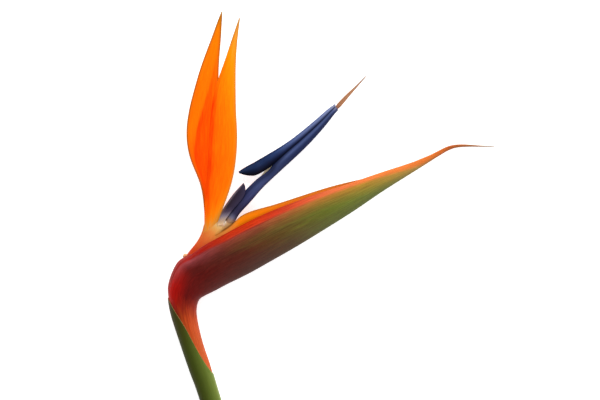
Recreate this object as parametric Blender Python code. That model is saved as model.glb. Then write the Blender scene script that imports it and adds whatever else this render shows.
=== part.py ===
"""A cut bird of paradise flower that lies on its side on a flat surface.

The flower is drawn in its own middle plane, in millimetres: u to the right, v up and w out of
the plane, to the side that faces up when the flower lies. An empty then lays it down, so that it
rests on three low points: the belly of the spathe, the cut end of the stalk and the beak.
"""
import math

import bmesh
import bpy
import numpy as np
from mathutils import Matrix, Vector

MM = 0.001
GAP = 0.3

# The stalk, the neck and the beak share one envelope. Each station gives the upper edge (u, v),
# the keel edge (u, v), the half depth and the shift out of the middle plane.
ENVELOPE = [
    (18.5, -121.7, 29.0, -118.3, 5.5, 0.0),
    (9.3, -91.7, 19.6, -88.3, 5.4, 0.0),
    (-0.3, -59.8, 9.7, -56.4, 5.3, 0.0),
    (-4.4, -48.3, 6.1, -44.5, 5.4, 0.0),
    (-8.6, -36.3, 2.0, -32.8, 5.7, 0.0),
    (-12.6, -24.3, -0.9, -21.3, 6.1, 0.0),
    (-15.0, -16.3, -1.6, -14.8, 6.8, 0.0),
    (-16.2, -8.8, -0.5, -10.3, 7.7, 0.0),
    (-15.9, -2.0, 1.5, -8.5, 8.6, 0.0),
    (-13.9, 4.3, 3.5, -7.4, 9.3, 0.0),
    (-10.8, 9.5, 6.0, -6.2, 9.8, 0.0),
    (-6.5, 12.5, 9.3, -4.5, 10.1, 0.0),
    (-1.0, 17.1, 14.0, -2.0, 10.2, 0.0),
    (6.0, 21.3, 20.0, 0.9, 9.5, 0.0),
    (14.0, 25.6, 27.0, 4.5, 8.75, 0.0),
    (24.0, 30.7, 36.0, 9.6, 7.8, 0.0),
    (35.0, 35.6, 45.5, 15.0, 6.9, 0.0),
    (47.0, 40.1, 56.0, 21.3, 5.9, 0.0),
    (60.0, 44.6, 67.0, 28.1, 4.9, 0.0),
    (74.0, 48.9, 79.0, 35.8, 3.9, 0.0),
    (88.0, 53.5, 91.0, 44.0, 2.9, 0.0),
    (101.5, 57.7, 103.8, 52.1, 2.1, 0.0),
    (112.0, 61.3, 113.5, 58.2, 1.6, 0.0),
    (119.0, 64.6, 120.5, 62.6, 1.3, 0.2),
    (124.5, 67.1, 125.5, 65.3, 1.0, 0.6),
    (131.0, 67.9, 131.0, 66.4, 0.8, 1.2),
    (139.0, 67.4, 139.0, 66.5, 0.6, 1.9),
    (147.0, 67.0, 147.0, 66.5, 0.4, 2.7),
]

# Places along the envelope, counted in stations.
NECK_FOOT = 2.3
FOOT_GAP = 0.025
MOUTH_LOW = 2.75
MOUTH_HIGH = 7.0
MOUTH_BEND = 1.15
COVER_FADE = 0.6
HEAD_START = 7.2
STALK_HEAD = 8.85
HEAD_ROUNDING = 0.985
SLIT_START = 11.0
SLIT_END = 21.8
HOLLOW_END = 22.3
BEAK_TIP = 27.0

# Between these places the section's widest part moves up, from the round neck to the keeled beak.
SKEW_PLACES = (6.0, 12.0)
SKEW = 0.3

# The wall grows from the neck's foot to the first place, and thins between the other two.
WALL_PLACES = (8.3, 14.0, 21.0)
SHEATH_WALL = 0.7
NECK_WALL = 0.8
SPATHE_WALL = 1.3
BEAK_WALL = 0.9

# The slit's half angle at the listed places, and the lengths over which its two ends round off.
SLIT_PLACES = (11.0, 13.5, 19.0, 21.0, 21.8)
SLIT_ANGLES = (0.45, 0.45, 0.35, 0.26, 0.15)
SLIT_ROUNDING = (0.8, 0.6)

# The neck's rows and columns are shared by the spathe's foot and the stalk inside it.
NECK_ROWS = np.linspace(NECK_FOOT, 10.5, 17)
NECK_COLUMNS = 22

# Rows of the spathe past the neck: close together where the slit starts and ends.
SLIT_START_ROWS = SLIT_START + np.array((0.0, 0.04, 0.15, 0.35, 0.8))
SLIT_ROWS = np.linspace(12.5, 20.5, 11)
SLIT_END_ROWS = SLIT_END - np.array((0.6, 0.3, 0.1, 0.0))
BEAK_ROWS = np.linspace(23.0, BEAK_TIP, 8)

BEAD_RADIUS = 1.25
BEAD_AT = (-7.3, 11.9, 0.0)
BLADE = 0.8
THIN_BLADE = 0.7
TUBE_WALL = 0.7

# The three low points that the flower lies on, in the drawing's own (u, v, w).
REST_BELLY = (5.9, 10.5, -9.82)
REST_STALK = (23.7, -120.0, -5.4)
REST_BEAK = (112.7, 59.9, -1.55)

# The fleshy base of the open flower: left edge (u, v), right edge (u, v) and half depth.
FLOWER_BASE = [
    (-9.9, 1.0, -2.8, -2.8, 2.6),
    (-8.0, 7.0, 2.0, 1.5, 3.2),
    (-5.0, 12.2, 8.0, 7.0, 3.5),
    (-4.2, 15.6, 15.0, 14.5, 3.6),
    (-1.4, 19.9, 19.6, 21.5, 3.6),
    (0.9, 23.75, 19.6, 29.15, 3.6),
]

# The sepals: left edge (u, v), right edge (u, v) and the middle's height out of the plane.
SEPAL_LEFT = [
    (2.0, 24.5, 7.2, 25.9, -1.9),
    (1.9, 35.8, 5.8, 36.5, -2.6),
    (0.0, 47.8, 6.0, 48.5, -3.6),
    (-4.7, 59.8, 7.2, 60.2, -4.6),
    (-6.9, 71.8, 8.2, 72.0, -5.4),
    (-5.9, 83.8, 8.9, 83.8, -6.0),
    (-3.0, 95.8, 9.1, 95.8, -6.5),
    (0.6, 107.8, 9.3, 107.8, -7.0),
    (5.0, 119.8, 10.2, 119.8, -7.4),
    (7.9, 127.8, 10.7, 127.8, -7.6),
    (10.5, 134.6, 11.1, 134.6, -7.7),
]
SEPAL_RIGHT = [
    (2.6, 24.7, 7.8, 26.1, 1.9),
    (3.2, 35.8, 10.9, 35.8, 2.8),
    (3.7, 47.8, 15.7, 47.8, 3.8),
    (4.3, 59.8, 18.0, 59.8, 4.8),
    (4.8, 71.8, 18.7, 71.8, 5.6),
    (5.7, 83.8, 18.2, 83.8, 6.2),
    (7.9, 95.8, 18.0, 95.8, 6.8),
    (11.9, 107.8, 18.1, 107.8, 7.4),
    (15.9, 119.8, 18.9, 119.8, 7.9),
    (19.6, 130.4, 20.2, 130.4, 8.2),
]
SEPAL_DISH = 2.4

# The third sepal is folded: its two edges (u, v), its fold (u, v) and the half depth at the edges.
SEPAL_FRONT = [
    (20.1, 31.4, 21.4, 24.6, 2.5),
    (26.2, 34.6, 27.8, 27.6, 2.5),
    (34.3, 36.9, 36.6, 30.4, 2.0),
    (44.0, 39.9, 46.1, 34.3, 1.4),
    (54.3, 43.3, 56.0, 38.6, 1.1),
    (65.0, 46.7, 66.2, 43.2, 0.8),
    (74.0, 48.9, 74.7, 46.8, 0.6),
    (81.0, 50.5, 81.3, 49.3, 0.45),
]

# The arrow's tube: upper edge (u, v), lower edge (u, v) and half depth.
ARROW_TUBE = [
    (12.5, 27.5, 17.6, 28.9, 2.0),
    (15.8, 36.3, 20.1, 33.2, 2.2),
    (20.5, 42.8, 25.0, 38.5, 2.4),
    (26.2, 48.7, 31.0, 45.4, 2.5),
    (34.3, 56.1, 38.3, 52.5, 2.5),
    (42.5, 63.8, 46.3, 59.8, 2.4),
    (50.8, 71.0, 54.3, 67.5, 2.2),
    (59.5, 78.9, 62.3, 76.4, 1.9),
    (64.4, 83.8, 66.4, 81.6, 1.65),
    (67.6, 87.0, 69.2, 84.9, 1.45),
]
TUBE_TIP = 9.0
TUBE_THINS_AT = 6.0
TUBE_TIP_WALL = 0.6
HALF_TUBE_GAP = 0.18
WING_ROOT_ANGLE = 0.45
WING_DISH = 0.06
WING_JOINS_AT = (4.0, 5.0, 6.0, 7.0, 8.0, 8.9)

# The wing's outer edge (u, v, w), from the barb's free tip to the arrow's tip, and the free
# stretch of its inner edge, which then runs into the tube's wall.
WING_EDGE = [
    (19.2, 54.1, 5.4),
    (22.3, 56.2, 5.9),
    (26.3, 58.4, 6.1),
    (28.6, 59.7, 6.1),
    (31.0, 61.1, 5.9),
    (40.2, 66.6, 5.2),
    (48.7, 72.6, 4.4),
    (58.0, 80.3, 3.3),
    (63.6, 85.2, 2.5),
    (67.7, 88.2, 1.9),
]
BARB_ROOT = [
    (19.8, 53.4, 5.1),
    (22.3, 52.5, 4.5),
    (25.5, 52.2, 3.7),
    (29.0, 53.0, 2.7),
]

# The short third petal is a trough: its back (u, v), its two rims (u, v) and its half depth.
NECTARY_PETAL = [
    (8.9, 26.7, 11.7, 27.4, 2.7),
    (11.1, 33.5, 16.5, 34.0, 3.05),
    (15.0, 40.5, 20.0, 38.7, 3.2),
    (19.0, 45.1, 23.3, 42.3, 3.2),
    (22.0, 48.3, 23.9, 46.4, 2.9),
]

# The stamens and the style run inside the tube, each at a share of its height from the top.
ROD_START = 0.06
STAMEN_SHARE = 0.63
STAMEN_END = 6.8
FILAMENT_RADIUS = 0.5
ANTHER_RADIUS = 0.8
ANTHER_PLACES = (2.0, 3.5)
ANTHER_TIPS = (5.0, STAMEN_END)
ANTHER_TAPER = 0.45
GROOVE = 0.24
STYLE_SHARE = 0.3
STYLE_RADIUS = 0.4
STYLE_TAPER = 0.08
STYLE_TAPERS_AT = (6.0, 8.0)

# Rods: centre (u, v) and half thickness.
STIGMA = [
    (69.25, 87.0, 1.2),
    (70.4, 88.3, 1.3),
    (74.2, 92.5, 1.0),
    (78.2, 96.7, 0.6),
    (83.0, 101.9, 0.3),
]
BUD_END = 0.35
BUD_LOWER = [
    (0.5, -4.7, 1.2),
    (6.0, -1.7, 1.5),
    (14.0, 3.0, 2.2),
    (25.0, 9.6, 2.9),
    (37.5, 16.9, 2.9),
    (50.0, 23.5, 2.3),
    (61.0, 30.0, 0.5),
]
BUD_UPPER = [
    (17.0, 14.8, 0.8),
    (23.0, 17.8, 1.8),
    (32.0, 22.8, 2.4),
    (42.0, 27.8, 1.9),
    (51.0, 32.3, 0.5),
]


def through(stations, places):
    """Rows of a natural cubic spline through the stations, which lie at 0, 1, 2 and so on."""
    rows = np.array(stations, float)
    count = len(rows)
    system = np.eye(count)
    right = np.zeros_like(rows)
    for k in range(1, count - 1):
        system[k, k - 1:k + 2] = (1.0, 4.0, 1.0)
        right[k] = 6.0 * (rows[k - 1] - 2.0 * rows[k] + rows[k + 1])
    bend = np.linalg.solve(system, right)
    places = np.asarray(places, float)
    low = np.clip(np.floor(places).astype(int), 0, count - 2)
    b = (places - low)[:, None]
    a = 1.0 - b
    straight = a * rows[low] + b * rows[low + 1]
    return straight + ((a ** 3 - a) * bend[low] + (b ** 3 - b) * bend[low + 1]) / 6.0


def ease(x):
    """A smooth step from 0 at x = 0 to 1 at x = 1."""
    x = np.clip(x, 0.0, 1.0)
    return x * x * (3.0 - 2.0 * x)


def between(x, start, end):
    """A smooth step from 0 at the start to 1 at the end."""
    return ease((x - start) / (end - start))


def oval(upper, lower, half_depth, shift, angle, inset, skew=0.0):
    """Points of an oval section that stands on the line from the lower to the upper edge.

    The angle is 0 at the upper edge and pi at the lower one. A skew above 0 draws the widest
    place towards the upper edge, which leaves the keel narrow; its cosine there is 'widest'.
    """
    middle = (upper + lower) / 2.0
    reach = (upper - lower) / 2.0
    height = np.linalg.norm(reach, axis=-1, keepdims=True)
    along = reach / height
    widest = 2.0 * skew / (1.0 + np.sqrt(1.0 + 8.0 * skew * skew))
    bulge = np.sin(angle) * (1.0 + skew * np.cos(angle))
    bulge = bulge / (np.sqrt(1.0 - widest * widest) * (1.0 + skew * widest))
    flat = middle + along * (height - inset[..., None]) * np.cos(angle)[..., None]
    deep = shift + (half_depth - inset) * bulge
    return np.concatenate([flat, deep[..., None]], axis=-1)


def envelope(places, angles, inset):
    """Points on the stalk, neck and beak, moved inwards by the inset, one for each place."""
    shape = np.broadcast(places, angles).shape
    rows = through(ENVELOPE, np.broadcast_to(places, shape).ravel()).reshape(shape + (6,))
    skew = SKEW * between(np.broadcast_to(places, shape), *SKEW_PLACES)
    inset = np.broadcast_to(inset, shape)
    return oval(rows[..., 0:2], rows[..., 2:4], rows[..., 4], rows[..., 5],
                np.broadcast_to(angles, shape), inset, skew)


def mouth(angles):
    """Where the sheath ends at each angle: high on the upper side, low on the keel side."""
    share = (1.0 + np.cos(angles)) / 2.0
    return MOUTH_LOW + (MOUTH_HIGH - MOUTH_LOW) * share ** MOUTH_BEND


def covered(places, angles):
    """How far the sheath's wall and gap press the neck in: full up to the mouth, then none."""
    above = mouth(angles) + COVER_FADE
    return (SHEATH_WALL + GAP) * (1.0 - between(places, above, above + COVER_FADE))


def wall(places):
    """Thickness of the spathe: thin at the foot of the neck, thick at the elbow, then less."""
    full, thinning, thin = WALL_PLACES
    rise = NECK_WALL + (SPATHE_WALL - NECK_WALL) * between(places, NECK_FOOT, full)
    return rise - (SPATHE_WALL - BEAK_WALL) * between(places, thinning, thin)


def slit(places):
    """Half the slit's opening angle: it starts round at the bead and closes along the beak."""
    start = np.clip((places - SLIT_START) / SLIT_ROUNDING[0], 0.0, 1.0)
    end = np.clip((SLIT_END - places) / SLIT_ROUNDING[1], 0.0, 1.0)
    rounding = np.sqrt((1.0 - (1.0 - start) ** 2) * (1.0 - (1.0 - end) ** 2))
    return np.interp(places, SLIT_PLACES, SLIT_ANGLES) * rounding


def upward():
    """The direction straight up from the surface, in the drawing's own axes."""
    belly, stalk, beak = (Vector(point) for point in (REST_BELLY, REST_STALK, REST_BEAK))
    return (stalk - belly).cross(beak - belly).normalized()


def seated(points):
    """The points with every one that lies under the surface lifted onto it."""
    up = np.array(upward())
    depth = (points - np.array(REST_BELLY)) @ up
    return points - np.minimum(depth, 0.0)[..., None] * up


def net(rows, columns, closed_rows=False, closed_columns=True, first=0):
    """Triangles over a grid of points, split alike on its first and its second half of columns."""
    faces = []
    for r in range(rows if closed_rows else rows - 1):
        for c in range(columns if closed_columns else columns - 1):
            a = first + r * columns + c
            b = first + r * columns + (c + 1) % columns
            d = first + (r + 1) % rows * columns + c
            e = first + (r + 1) % rows * columns + (c + 1) % columns
            faces += [(a, b, e), (a, e, d)] if c < columns // 2 else [(a, b, d), (b, e, d)]
    return faces


def lid(columns, first):
    """Triangles that close a ring by joining the points that face each other across it."""
    faces = []
    for c in range(columns // 2 - 1):
        a, b = first + c, first + c + 1
        d, e = first + columns - 1 - c, first + columns - 2 - c
        faces += [(a, b, e), (a, e, d)]
    if columns % 2:
        middle = first + columns // 2
        faces.append((middle - 1, middle, middle + 1))
    return faces


def make(name, points, faces, finish, weld=False):
    """A named object of the given points in millimetres, its faces turned outwards."""
    mesh = bpy.data.meshes.new(name)
    mesh.from_pydata((points.reshape(-1, 3) * MM).tolist(), [], faces)
    form = bmesh.new()
    form.from_mesh(mesh)
    if weld:
        bmesh.ops.remove_doubles(form, verts=form.verts, dist=0.00001)
    bmesh.ops.recalc_face_normals(form, faces=form.faces)
    if form.calc_volume(signed=True) < 0.0:
        bmesh.ops.reverse_faces(form, faces=form.faces)
    form.to_mesh(mesh)
    form.free()
    mesh.shade_smooth()
    mesh.set_sharp_from_angle(angle=math.radians(50.0))
    mesh.materials.append(finish)
    piece = bpy.data.objects.new(name, mesh)
    bpy.context.collection.objects.link(piece)
    return piece


def lofted(name, rings, finish):
    """A closed solid through a row of rings, with a lid on the first and on the last."""
    rows, columns = rings.shape[:2]
    faces = net(rows, columns) + lid(columns, 0) + lid(columns, (rows - 1) * columns)
    return make(name, rings, faces, finish)


def joined(piece, other):
    """The piece with the other one united to it, and the other one removed."""
    union = piece.modifiers.new("union", "BOOLEAN")
    union.operation = "UNION"
    union.solver = "EXACT"
    union.object = other
    bpy.context.view_layer.update()
    seen = piece.evaluated_get(bpy.context.evaluated_depsgraph_get())
    mesh = bpy.data.meshes.new_from_object(seen)
    piece.modifiers.clear()
    piece.data = mesh
    bpy.data.objects.remove(other)
    return piece


def finish(name, colour, roughness):
    """A plain material: an sRGB hex colour, a roughness, and no metal."""
    channels = [int(colour[k:k + 2], 16) / 255.0 for k in (1, 3, 5)]
    linear = [c / 12.92 if c <= 0.04045 else ((c + 0.055) / 1.055) ** 2.4 for c in channels]
    material = bpy.data.materials.new(name)
    material.use_nodes = True
    shader = material.node_tree.nodes["Principled BSDF"]
    shader.inputs["Base Color"].default_value = (*linear, 1.0)
    shader.inputs["Roughness"].default_value = roughness
    shader.inputs["Metallic"].default_value = 0.0
    return material


def blade(edge_a, edge_b, dish, thickness, across=7):
    """Rings of a thin blade between two edges (u, v, w); its middle stands out by the dish."""
    share = np.linspace(0.0, 1.0, across)[None, :, None]
    middle = edge_a[:, None, :] * (1.0 - share) + edge_b[:, None, :] * share
    arch = (1.0 - (2.0 * share[..., 0] - 1.0) ** 2) * dish[:, None]
    straight = middle
    middle = straight + np.stack([0.0 * arch, 0.0 * arch, arch], -1)
    out = np.cross(np.gradient(middle, axis=1), np.gradient(straight, axis=0))
    out /= np.linalg.norm(out, axis=-1, keepdims=True)
    half = out * thickness[:, None, None] / 2.0
    return np.concatenate([middle + half, (middle - half)[:, ::-1]], axis=1)


def trough(stations, places, thickness, across=9):
    """Rings of a blade folded to a U: its back, its two rims and its half depth."""
    rows = through(stations, places)
    turn = np.linspace(-math.pi / 2.0, math.pi / 2.0, across)
    back = np.concatenate([rows[:, 0:2], np.zeros((len(rows), 1))], 1)[:, None, :]
    rim = np.concatenate([rows[:, 2:4], np.zeros((len(rows), 1))], 1)[:, None, :]
    deep = rows[:, 4][:, None, None] * np.array((0.0, 0.0, 1.0))

    def surface(extra):
        """The U's mid surface moved outwards by the extra distance."""
        away = (back - rim) / np.linalg.norm(back - rim, axis=-1, keepdims=True)
        flat = rim + (back - rim + away * extra) * np.cos(turn)[None, :, None]
        return flat + (deep + np.array((0.0, 0.0, extra))) * np.sin(turn)[None, :, None]

    return np.concatenate([surface(thickness / 2.0), surface(-thickness / 2.0)[:, ::-1]], axis=1)


def rod(path, half, columns=8, lobes=0):
    """Rings of a rod along a path in the middle plane: round, or grooved between its lobes."""
    along = np.gradient(path, axis=0)
    side = np.stack([-along[:, 1], along[:, 0]], -1)
    side /= np.linalg.norm(side, axis=-1, keepdims=True)
    turn = np.linspace(0.0, 2.0 * math.pi, columns, endpoint=False)
    size = half[:, None] * (1.0 - GROOVE * (1.0 - np.cos(lobes * turn)) / 2.0)
    flat = path[:, None, :] + side[:, None, :] * (size * np.cos(turn))[..., None]
    return np.concatenate([flat, (size * np.sin(turn))[..., None]], axis=-1)


def full_turn(columns):
    """Angles all the way round, once."""
    return np.linspace(0.0, 2.0 * math.pi, columns, endpoint=False)[None, :]


def make_stem():
    """The stalk: full size up to the spathe's foot, then slimmer inside the neck, with a round head."""
    angles = full_turn(NECK_COLUMNS)
    foot = NECK_FOOT - FOOT_GAP
    lower = np.concatenate([np.linspace(0.0, 2.0, 7), [foot]])[:, None]
    upper = NECK_ROWS[NECK_ROWS < HEAD_START][:, None]
    head = np.linspace(upper[-1, 0], STALK_HEAD, 6)[1:, None]
    low = envelope(lower, angles, SHEATH_WALL + GAP)
    step = envelope(np.array([[foot]]), angles, covered(foot, angles) + wall(foot) + GAP)
    high = envelope(upper, angles, covered(upper, angles) + wall(upper) + GAP)
    rise = HEAD_ROUNDING * (head - upper[-1]) / (STALK_HEAD - upper[-1])
    top = envelope(head, angles, covered(head, angles) + wall(head) + GAP * (1.0 + rise))
    round_off = np.sqrt(1.0 - rise ** 2)[..., None]
    middle = top.mean(axis=1, keepdims=True)
    top = middle + (top - middle) * round_off
    rings = np.concatenate([low, step, high, top])
    return lofted("stem", rings, finish("stem", "#5F7028", 0.55))


def make_sheath():
    """The bract round the stalk: a tube whose mouth is cut on a slant."""
    angles = full_turn(NECK_COLUMNS)
    share = np.linspace(0.0, 1.0, 15)[:, None]
    places = share * mouth(angles)
    outer = seated(envelope(places, angles, 0.0))
    inner = envelope(places, angles, SHEATH_WALL)
    rings = np.concatenate([outer, inner[::-1]])
    faces = net(len(rings), angles.size, closed_rows=True)
    return make("sheath", rings, faces, finish("sheath", "#55661F", 0.5))


def make_spathe():
    """The beak: an outer and an inner skin, joined round the foot and along the slit's margins."""
    turns = np.linspace(0.0, 1.0, NECK_COLUMNS + 1)[None, :]
    places = np.concatenate([NECK_ROWS, SLIT_START_ROWS, SLIT_ROWS, SLIT_END_ROWS])
    first, last = len(NECK_ROWS), len(places) - 1
    beyond = np.concatenate([[HOLLOW_END], BEAK_ROWS])

    def skin(at, inset):
        """The section's points from one margin round the keel to the other."""
        at = at[:, None]
        angles = slit(at) + (2.0 * math.pi - 2.0 * slit(at)) * turns
        return envelope(at, angles, covered(at, angles) + inset)

    outer = seated(skin(np.concatenate([places, beyond]), 0.0))
    inner = skin(places, wall(places)[:, None])
    columns = turns.size
    points = np.concatenate([outer.reshape(-1, 3), inner.reshape(-1, 3)])
    base = outer.shape[0] * columns
    faces = net(len(outer), columns, closed_columns=False)
    faces += net(len(inner), columns, closed_columns=False, first=base)
    for c in range(columns - 1):
        faces += [(c, c + 1, base + c + 1), (c, base + c + 1, base + c)]
    for r in range(first, last):
        for c in (0, columns - 1):
            a, b = r * columns + c, (r + 1) * columns + c
            faces += [(a, b, base + b), (a, base + b, base + a)]
    faces += lid(columns, (len(outer) - 1) * columns)
    faces += lid(columns, base + last * columns)
    spathe = make("spathe", points, faces, finish("spathe", "#6B3A24", 0.45), weld=True)
    bpy.ops.mesh.primitive_uv_sphere_add(segments=10, ring_count=6, radius=BEAD_RADIUS * MM,
                                         location=Vector(BEAD_AT) * MM)
    return joined(spathe, bpy.context.object)


def make_flower_base():
    """The open flower's base: an oval mass that widens out of the slit to a slanted top."""
    rows = through(FLOWER_BASE, np.linspace(0.0, len(FLOWER_BASE) - 1.0, 11))
    angles = np.broadcast_to(full_turn(16), (len(rows), 16))
    edges = rows[:, None, :]
    rings = oval(edges[..., 0:2], edges[..., 2:4], edges[..., 4], 0.0, angles, np.zeros(angles.shape))
    return lofted("flower_base", rings, finish("flower_base", "#D9803F", 0.5))


def make_sepal(name, stations, side):
    """An upright sepal: a pointed blade, dished so that its back faces away from the flower."""
    rows = through(stations, np.linspace(0.0, len(stations) - 1.0, 25))
    left = np.concatenate([rows[:, 0:2], rows[:, 4:5]], axis=1)
    right = np.concatenate([rows[:, 2:4], rows[:, 4:5]], axis=1)
    width = np.linalg.norm(right - left, axis=1)
    dish = side * SEPAL_DISH * width / width.max()
    thickness = np.full(len(rows), BLADE)
    return lofted(name, blade(left, right, dish, thickness), finish(name, "#FF7A05", 0.45))


def make_front_sepal():
    """The third sepal: folded lengthways, with its fold down in the slit."""
    edges_last = [(row[2], row[3], row[0], row[1], row[4]) for row in SEPAL_FRONT]
    rings = trough(edges_last, np.linspace(0.0, len(SEPAL_FRONT) - 1.0, 18), THIN_BLADE)
    return lofted("sepal_front", rings, finish("sepal_front", "#F57C10", 0.45))


def tube_points(places, angles, inset):
    """Points on the arrow's tube, moved inwards by the inset."""
    shape = np.broadcast(places, angles).shape
    rows = through(ARROW_TUBE, np.broadcast_to(places, shape).ravel()).reshape(shape + (5,))
    return oval(rows[..., 0:2], rows[..., 2:4], rows[..., 4], 0.0,
                np.broadcast_to(angles, shape), np.broadcast_to(inset, shape))


def make_arrow_petal(name, side):
    """One blue petal: half of the arrow's tube, with a wing along its top that ends in a barb."""
    places = np.linspace(0.0, TUBE_TIP, 19)[:, None]
    angles = np.linspace(HALF_TUBE_GAP, math.pi - HALF_TUBE_GAP, 7)[None, :]
    thinning = between(places, TUBE_THINS_AT, TUBE_TIP)
    thickness = TUBE_WALL - (TUBE_WALL - TUBE_TIP_WALL) * thinning
    outer = tube_points(places, angles, 0.0)
    inner = tube_points(places, angles, thickness)
    half = np.concatenate([outer, inner[:, ::-1]], axis=1)
    joins = np.array(WING_JOINS_AT)[:, None]
    root = tube_points(joins, np.array([[WING_ROOT_ANGLE]]), TUBE_WALL / 2.0)[:, 0]
    along = np.linspace(0.0, len(WING_EDGE) - 1.0, 19)
    edge_out = through(WING_EDGE, along)
    edge_in = through(BARB_ROOT + root.tolist(), along)
    width = np.linalg.norm(edge_out - edge_in, axis=1)
    thin = np.full(len(along), THIN_BLADE)
    wing = blade(edge_in, edge_out, WING_DISH * width, thin, across=5)
    turn = np.array((1.0, 1.0, side))
    colour = finish(name, "#2A3A66", 0.4)
    petal = lofted(name, half * turn, colour)
    return joined(petal, lofted(name + "_wing", wing * turn, colour))


def make_nectary_petal():
    """The short petal: a trough round the upper side of the arrow's foot."""
    rings = trough(NECTARY_PETAL, np.linspace(0.0, len(NECTARY_PETAL) - 1.0, 10), THIN_BLADE)
    return lofted("nectary_petal", rings, finish("nectary_petal", "#2F2A40", 0.45))


def tube_line(places, share):
    """A line inside the tube at a share of its height, counted from the upper edge."""
    rows = through(ARROW_TUBE, places)
    return rows[:, 0:2] + (rows[:, 2:4] - rows[:, 0:2]) * share[:, None]


def make_stamens():
    """The stamens: a five-lobed bundle low in the tube, thicker along the anthers."""
    places = np.linspace(ROD_START, STAMEN_END, 14)
    path = tube_line(places, np.full(len(places), STAMEN_SHARE))
    half = FILAMENT_RADIUS + (ANTHER_RADIUS - FILAMENT_RADIUS) * between(places, *ANTHER_PLACES)
    half -= ANTHER_TAPER * between(places, *ANTHER_TIPS)
    return lofted("stamens", rod(path, half, 10, lobes=5), finish("stamens", "#D8C89A", 0.6))


def make_style():
    """The style: a slim rod high in the tube that ends in the stigma beyond the arrow's tip."""
    places = np.linspace(ROD_START, TUBE_TIP, 16)
    tapering = between(places, *STYLE_TAPERS_AT)
    path = tube_line(places, STYLE_SHARE + (0.5 - STYLE_SHARE) * tapering)
    half = STYLE_RADIUS - STYLE_TAPER * tapering
    stigma = through(STIGMA, np.linspace(0.0, len(STIGMA) - 1.0, 9))
    path = np.concatenate([path, stigma[:, 0:2]])
    half = np.concatenate([half, stigma[:, 2]])
    return lofted("style", rod(path, half), finish("style", "#C08867", 0.5))


def make_bud(name, stations):
    """An unopened flower inside the spathe: a pointed spindle on a short stalk."""
    rows = through(stations, np.linspace(0.0, len(stations) - 1.0, 13))
    half = np.maximum(rows[:, 2], BUD_END)
    return lofted(name, rod(rows[:, 0:2], half, 10), finish(name, "#D9B060", 0.5))


def build():
    """Clear the scene, make every piece and lay the flower down."""
    for thing in list(bpy.context.scene.objects):
        bpy.data.objects.remove(thing)
    pieces = [
        make_stem(),
        make_sheath(),
        make_spathe(),
        make_flower_base(),
        make_sepal("sepal_left", SEPAL_LEFT, -1.0),
        make_sepal("sepal_right", SEPAL_RIGHT, 1.0),
        make_front_sepal(),
        make_arrow_petal("petal_near", 1.0),
        make_arrow_petal("petal_far", -1.0),
        make_nectary_petal(),
        make_stamens(),
        make_style(),
        make_bud("bud_lower", BUD_LOWER),
        make_bud("bud_upper", BUD_UPPER),
    ]
    laid = bpy.data.objects.new("laid_down", None)
    bpy.context.collection.objects.link(laid)
    turn = upward().rotation_difference(Vector((0.0, 0.0, 1.0))).to_matrix().to_4x4()
    laid.matrix_world = turn @ Matrix.Translation(-Vector(REST_BELLY) * MM)
    for piece in pieces:
        piece.parent = laid


build()
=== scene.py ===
"""The looks of a cut bird of paradise flower that lies on its side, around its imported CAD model.

Shapes are worked out in the flower's own middle plane, in millimetres: u to the right, v up and
w out of the plane, to the side that faces up when the flower lies. They are then laid down.
"""
import math

import bmesh
import bpy
import numpy as np
from mathutils import Matrix, Vector


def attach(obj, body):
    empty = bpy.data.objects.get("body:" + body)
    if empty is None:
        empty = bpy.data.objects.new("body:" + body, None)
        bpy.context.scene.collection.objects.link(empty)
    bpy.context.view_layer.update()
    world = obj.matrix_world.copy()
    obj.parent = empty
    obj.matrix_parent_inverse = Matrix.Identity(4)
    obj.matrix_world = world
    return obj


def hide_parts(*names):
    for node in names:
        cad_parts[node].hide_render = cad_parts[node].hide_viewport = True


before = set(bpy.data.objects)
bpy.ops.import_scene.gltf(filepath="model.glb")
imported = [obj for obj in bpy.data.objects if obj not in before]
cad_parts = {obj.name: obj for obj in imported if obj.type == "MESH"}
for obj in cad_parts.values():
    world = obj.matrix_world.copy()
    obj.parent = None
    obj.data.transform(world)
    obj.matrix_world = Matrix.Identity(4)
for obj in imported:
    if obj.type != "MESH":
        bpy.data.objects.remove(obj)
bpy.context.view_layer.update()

# The stalk.
# The real one is a fleshy round scape, green outside and pale inside, with strings of vessels
# that show as dots where it was cut. It runs up inside the neck of the spathe, unseen.

MM = 0.001

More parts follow.
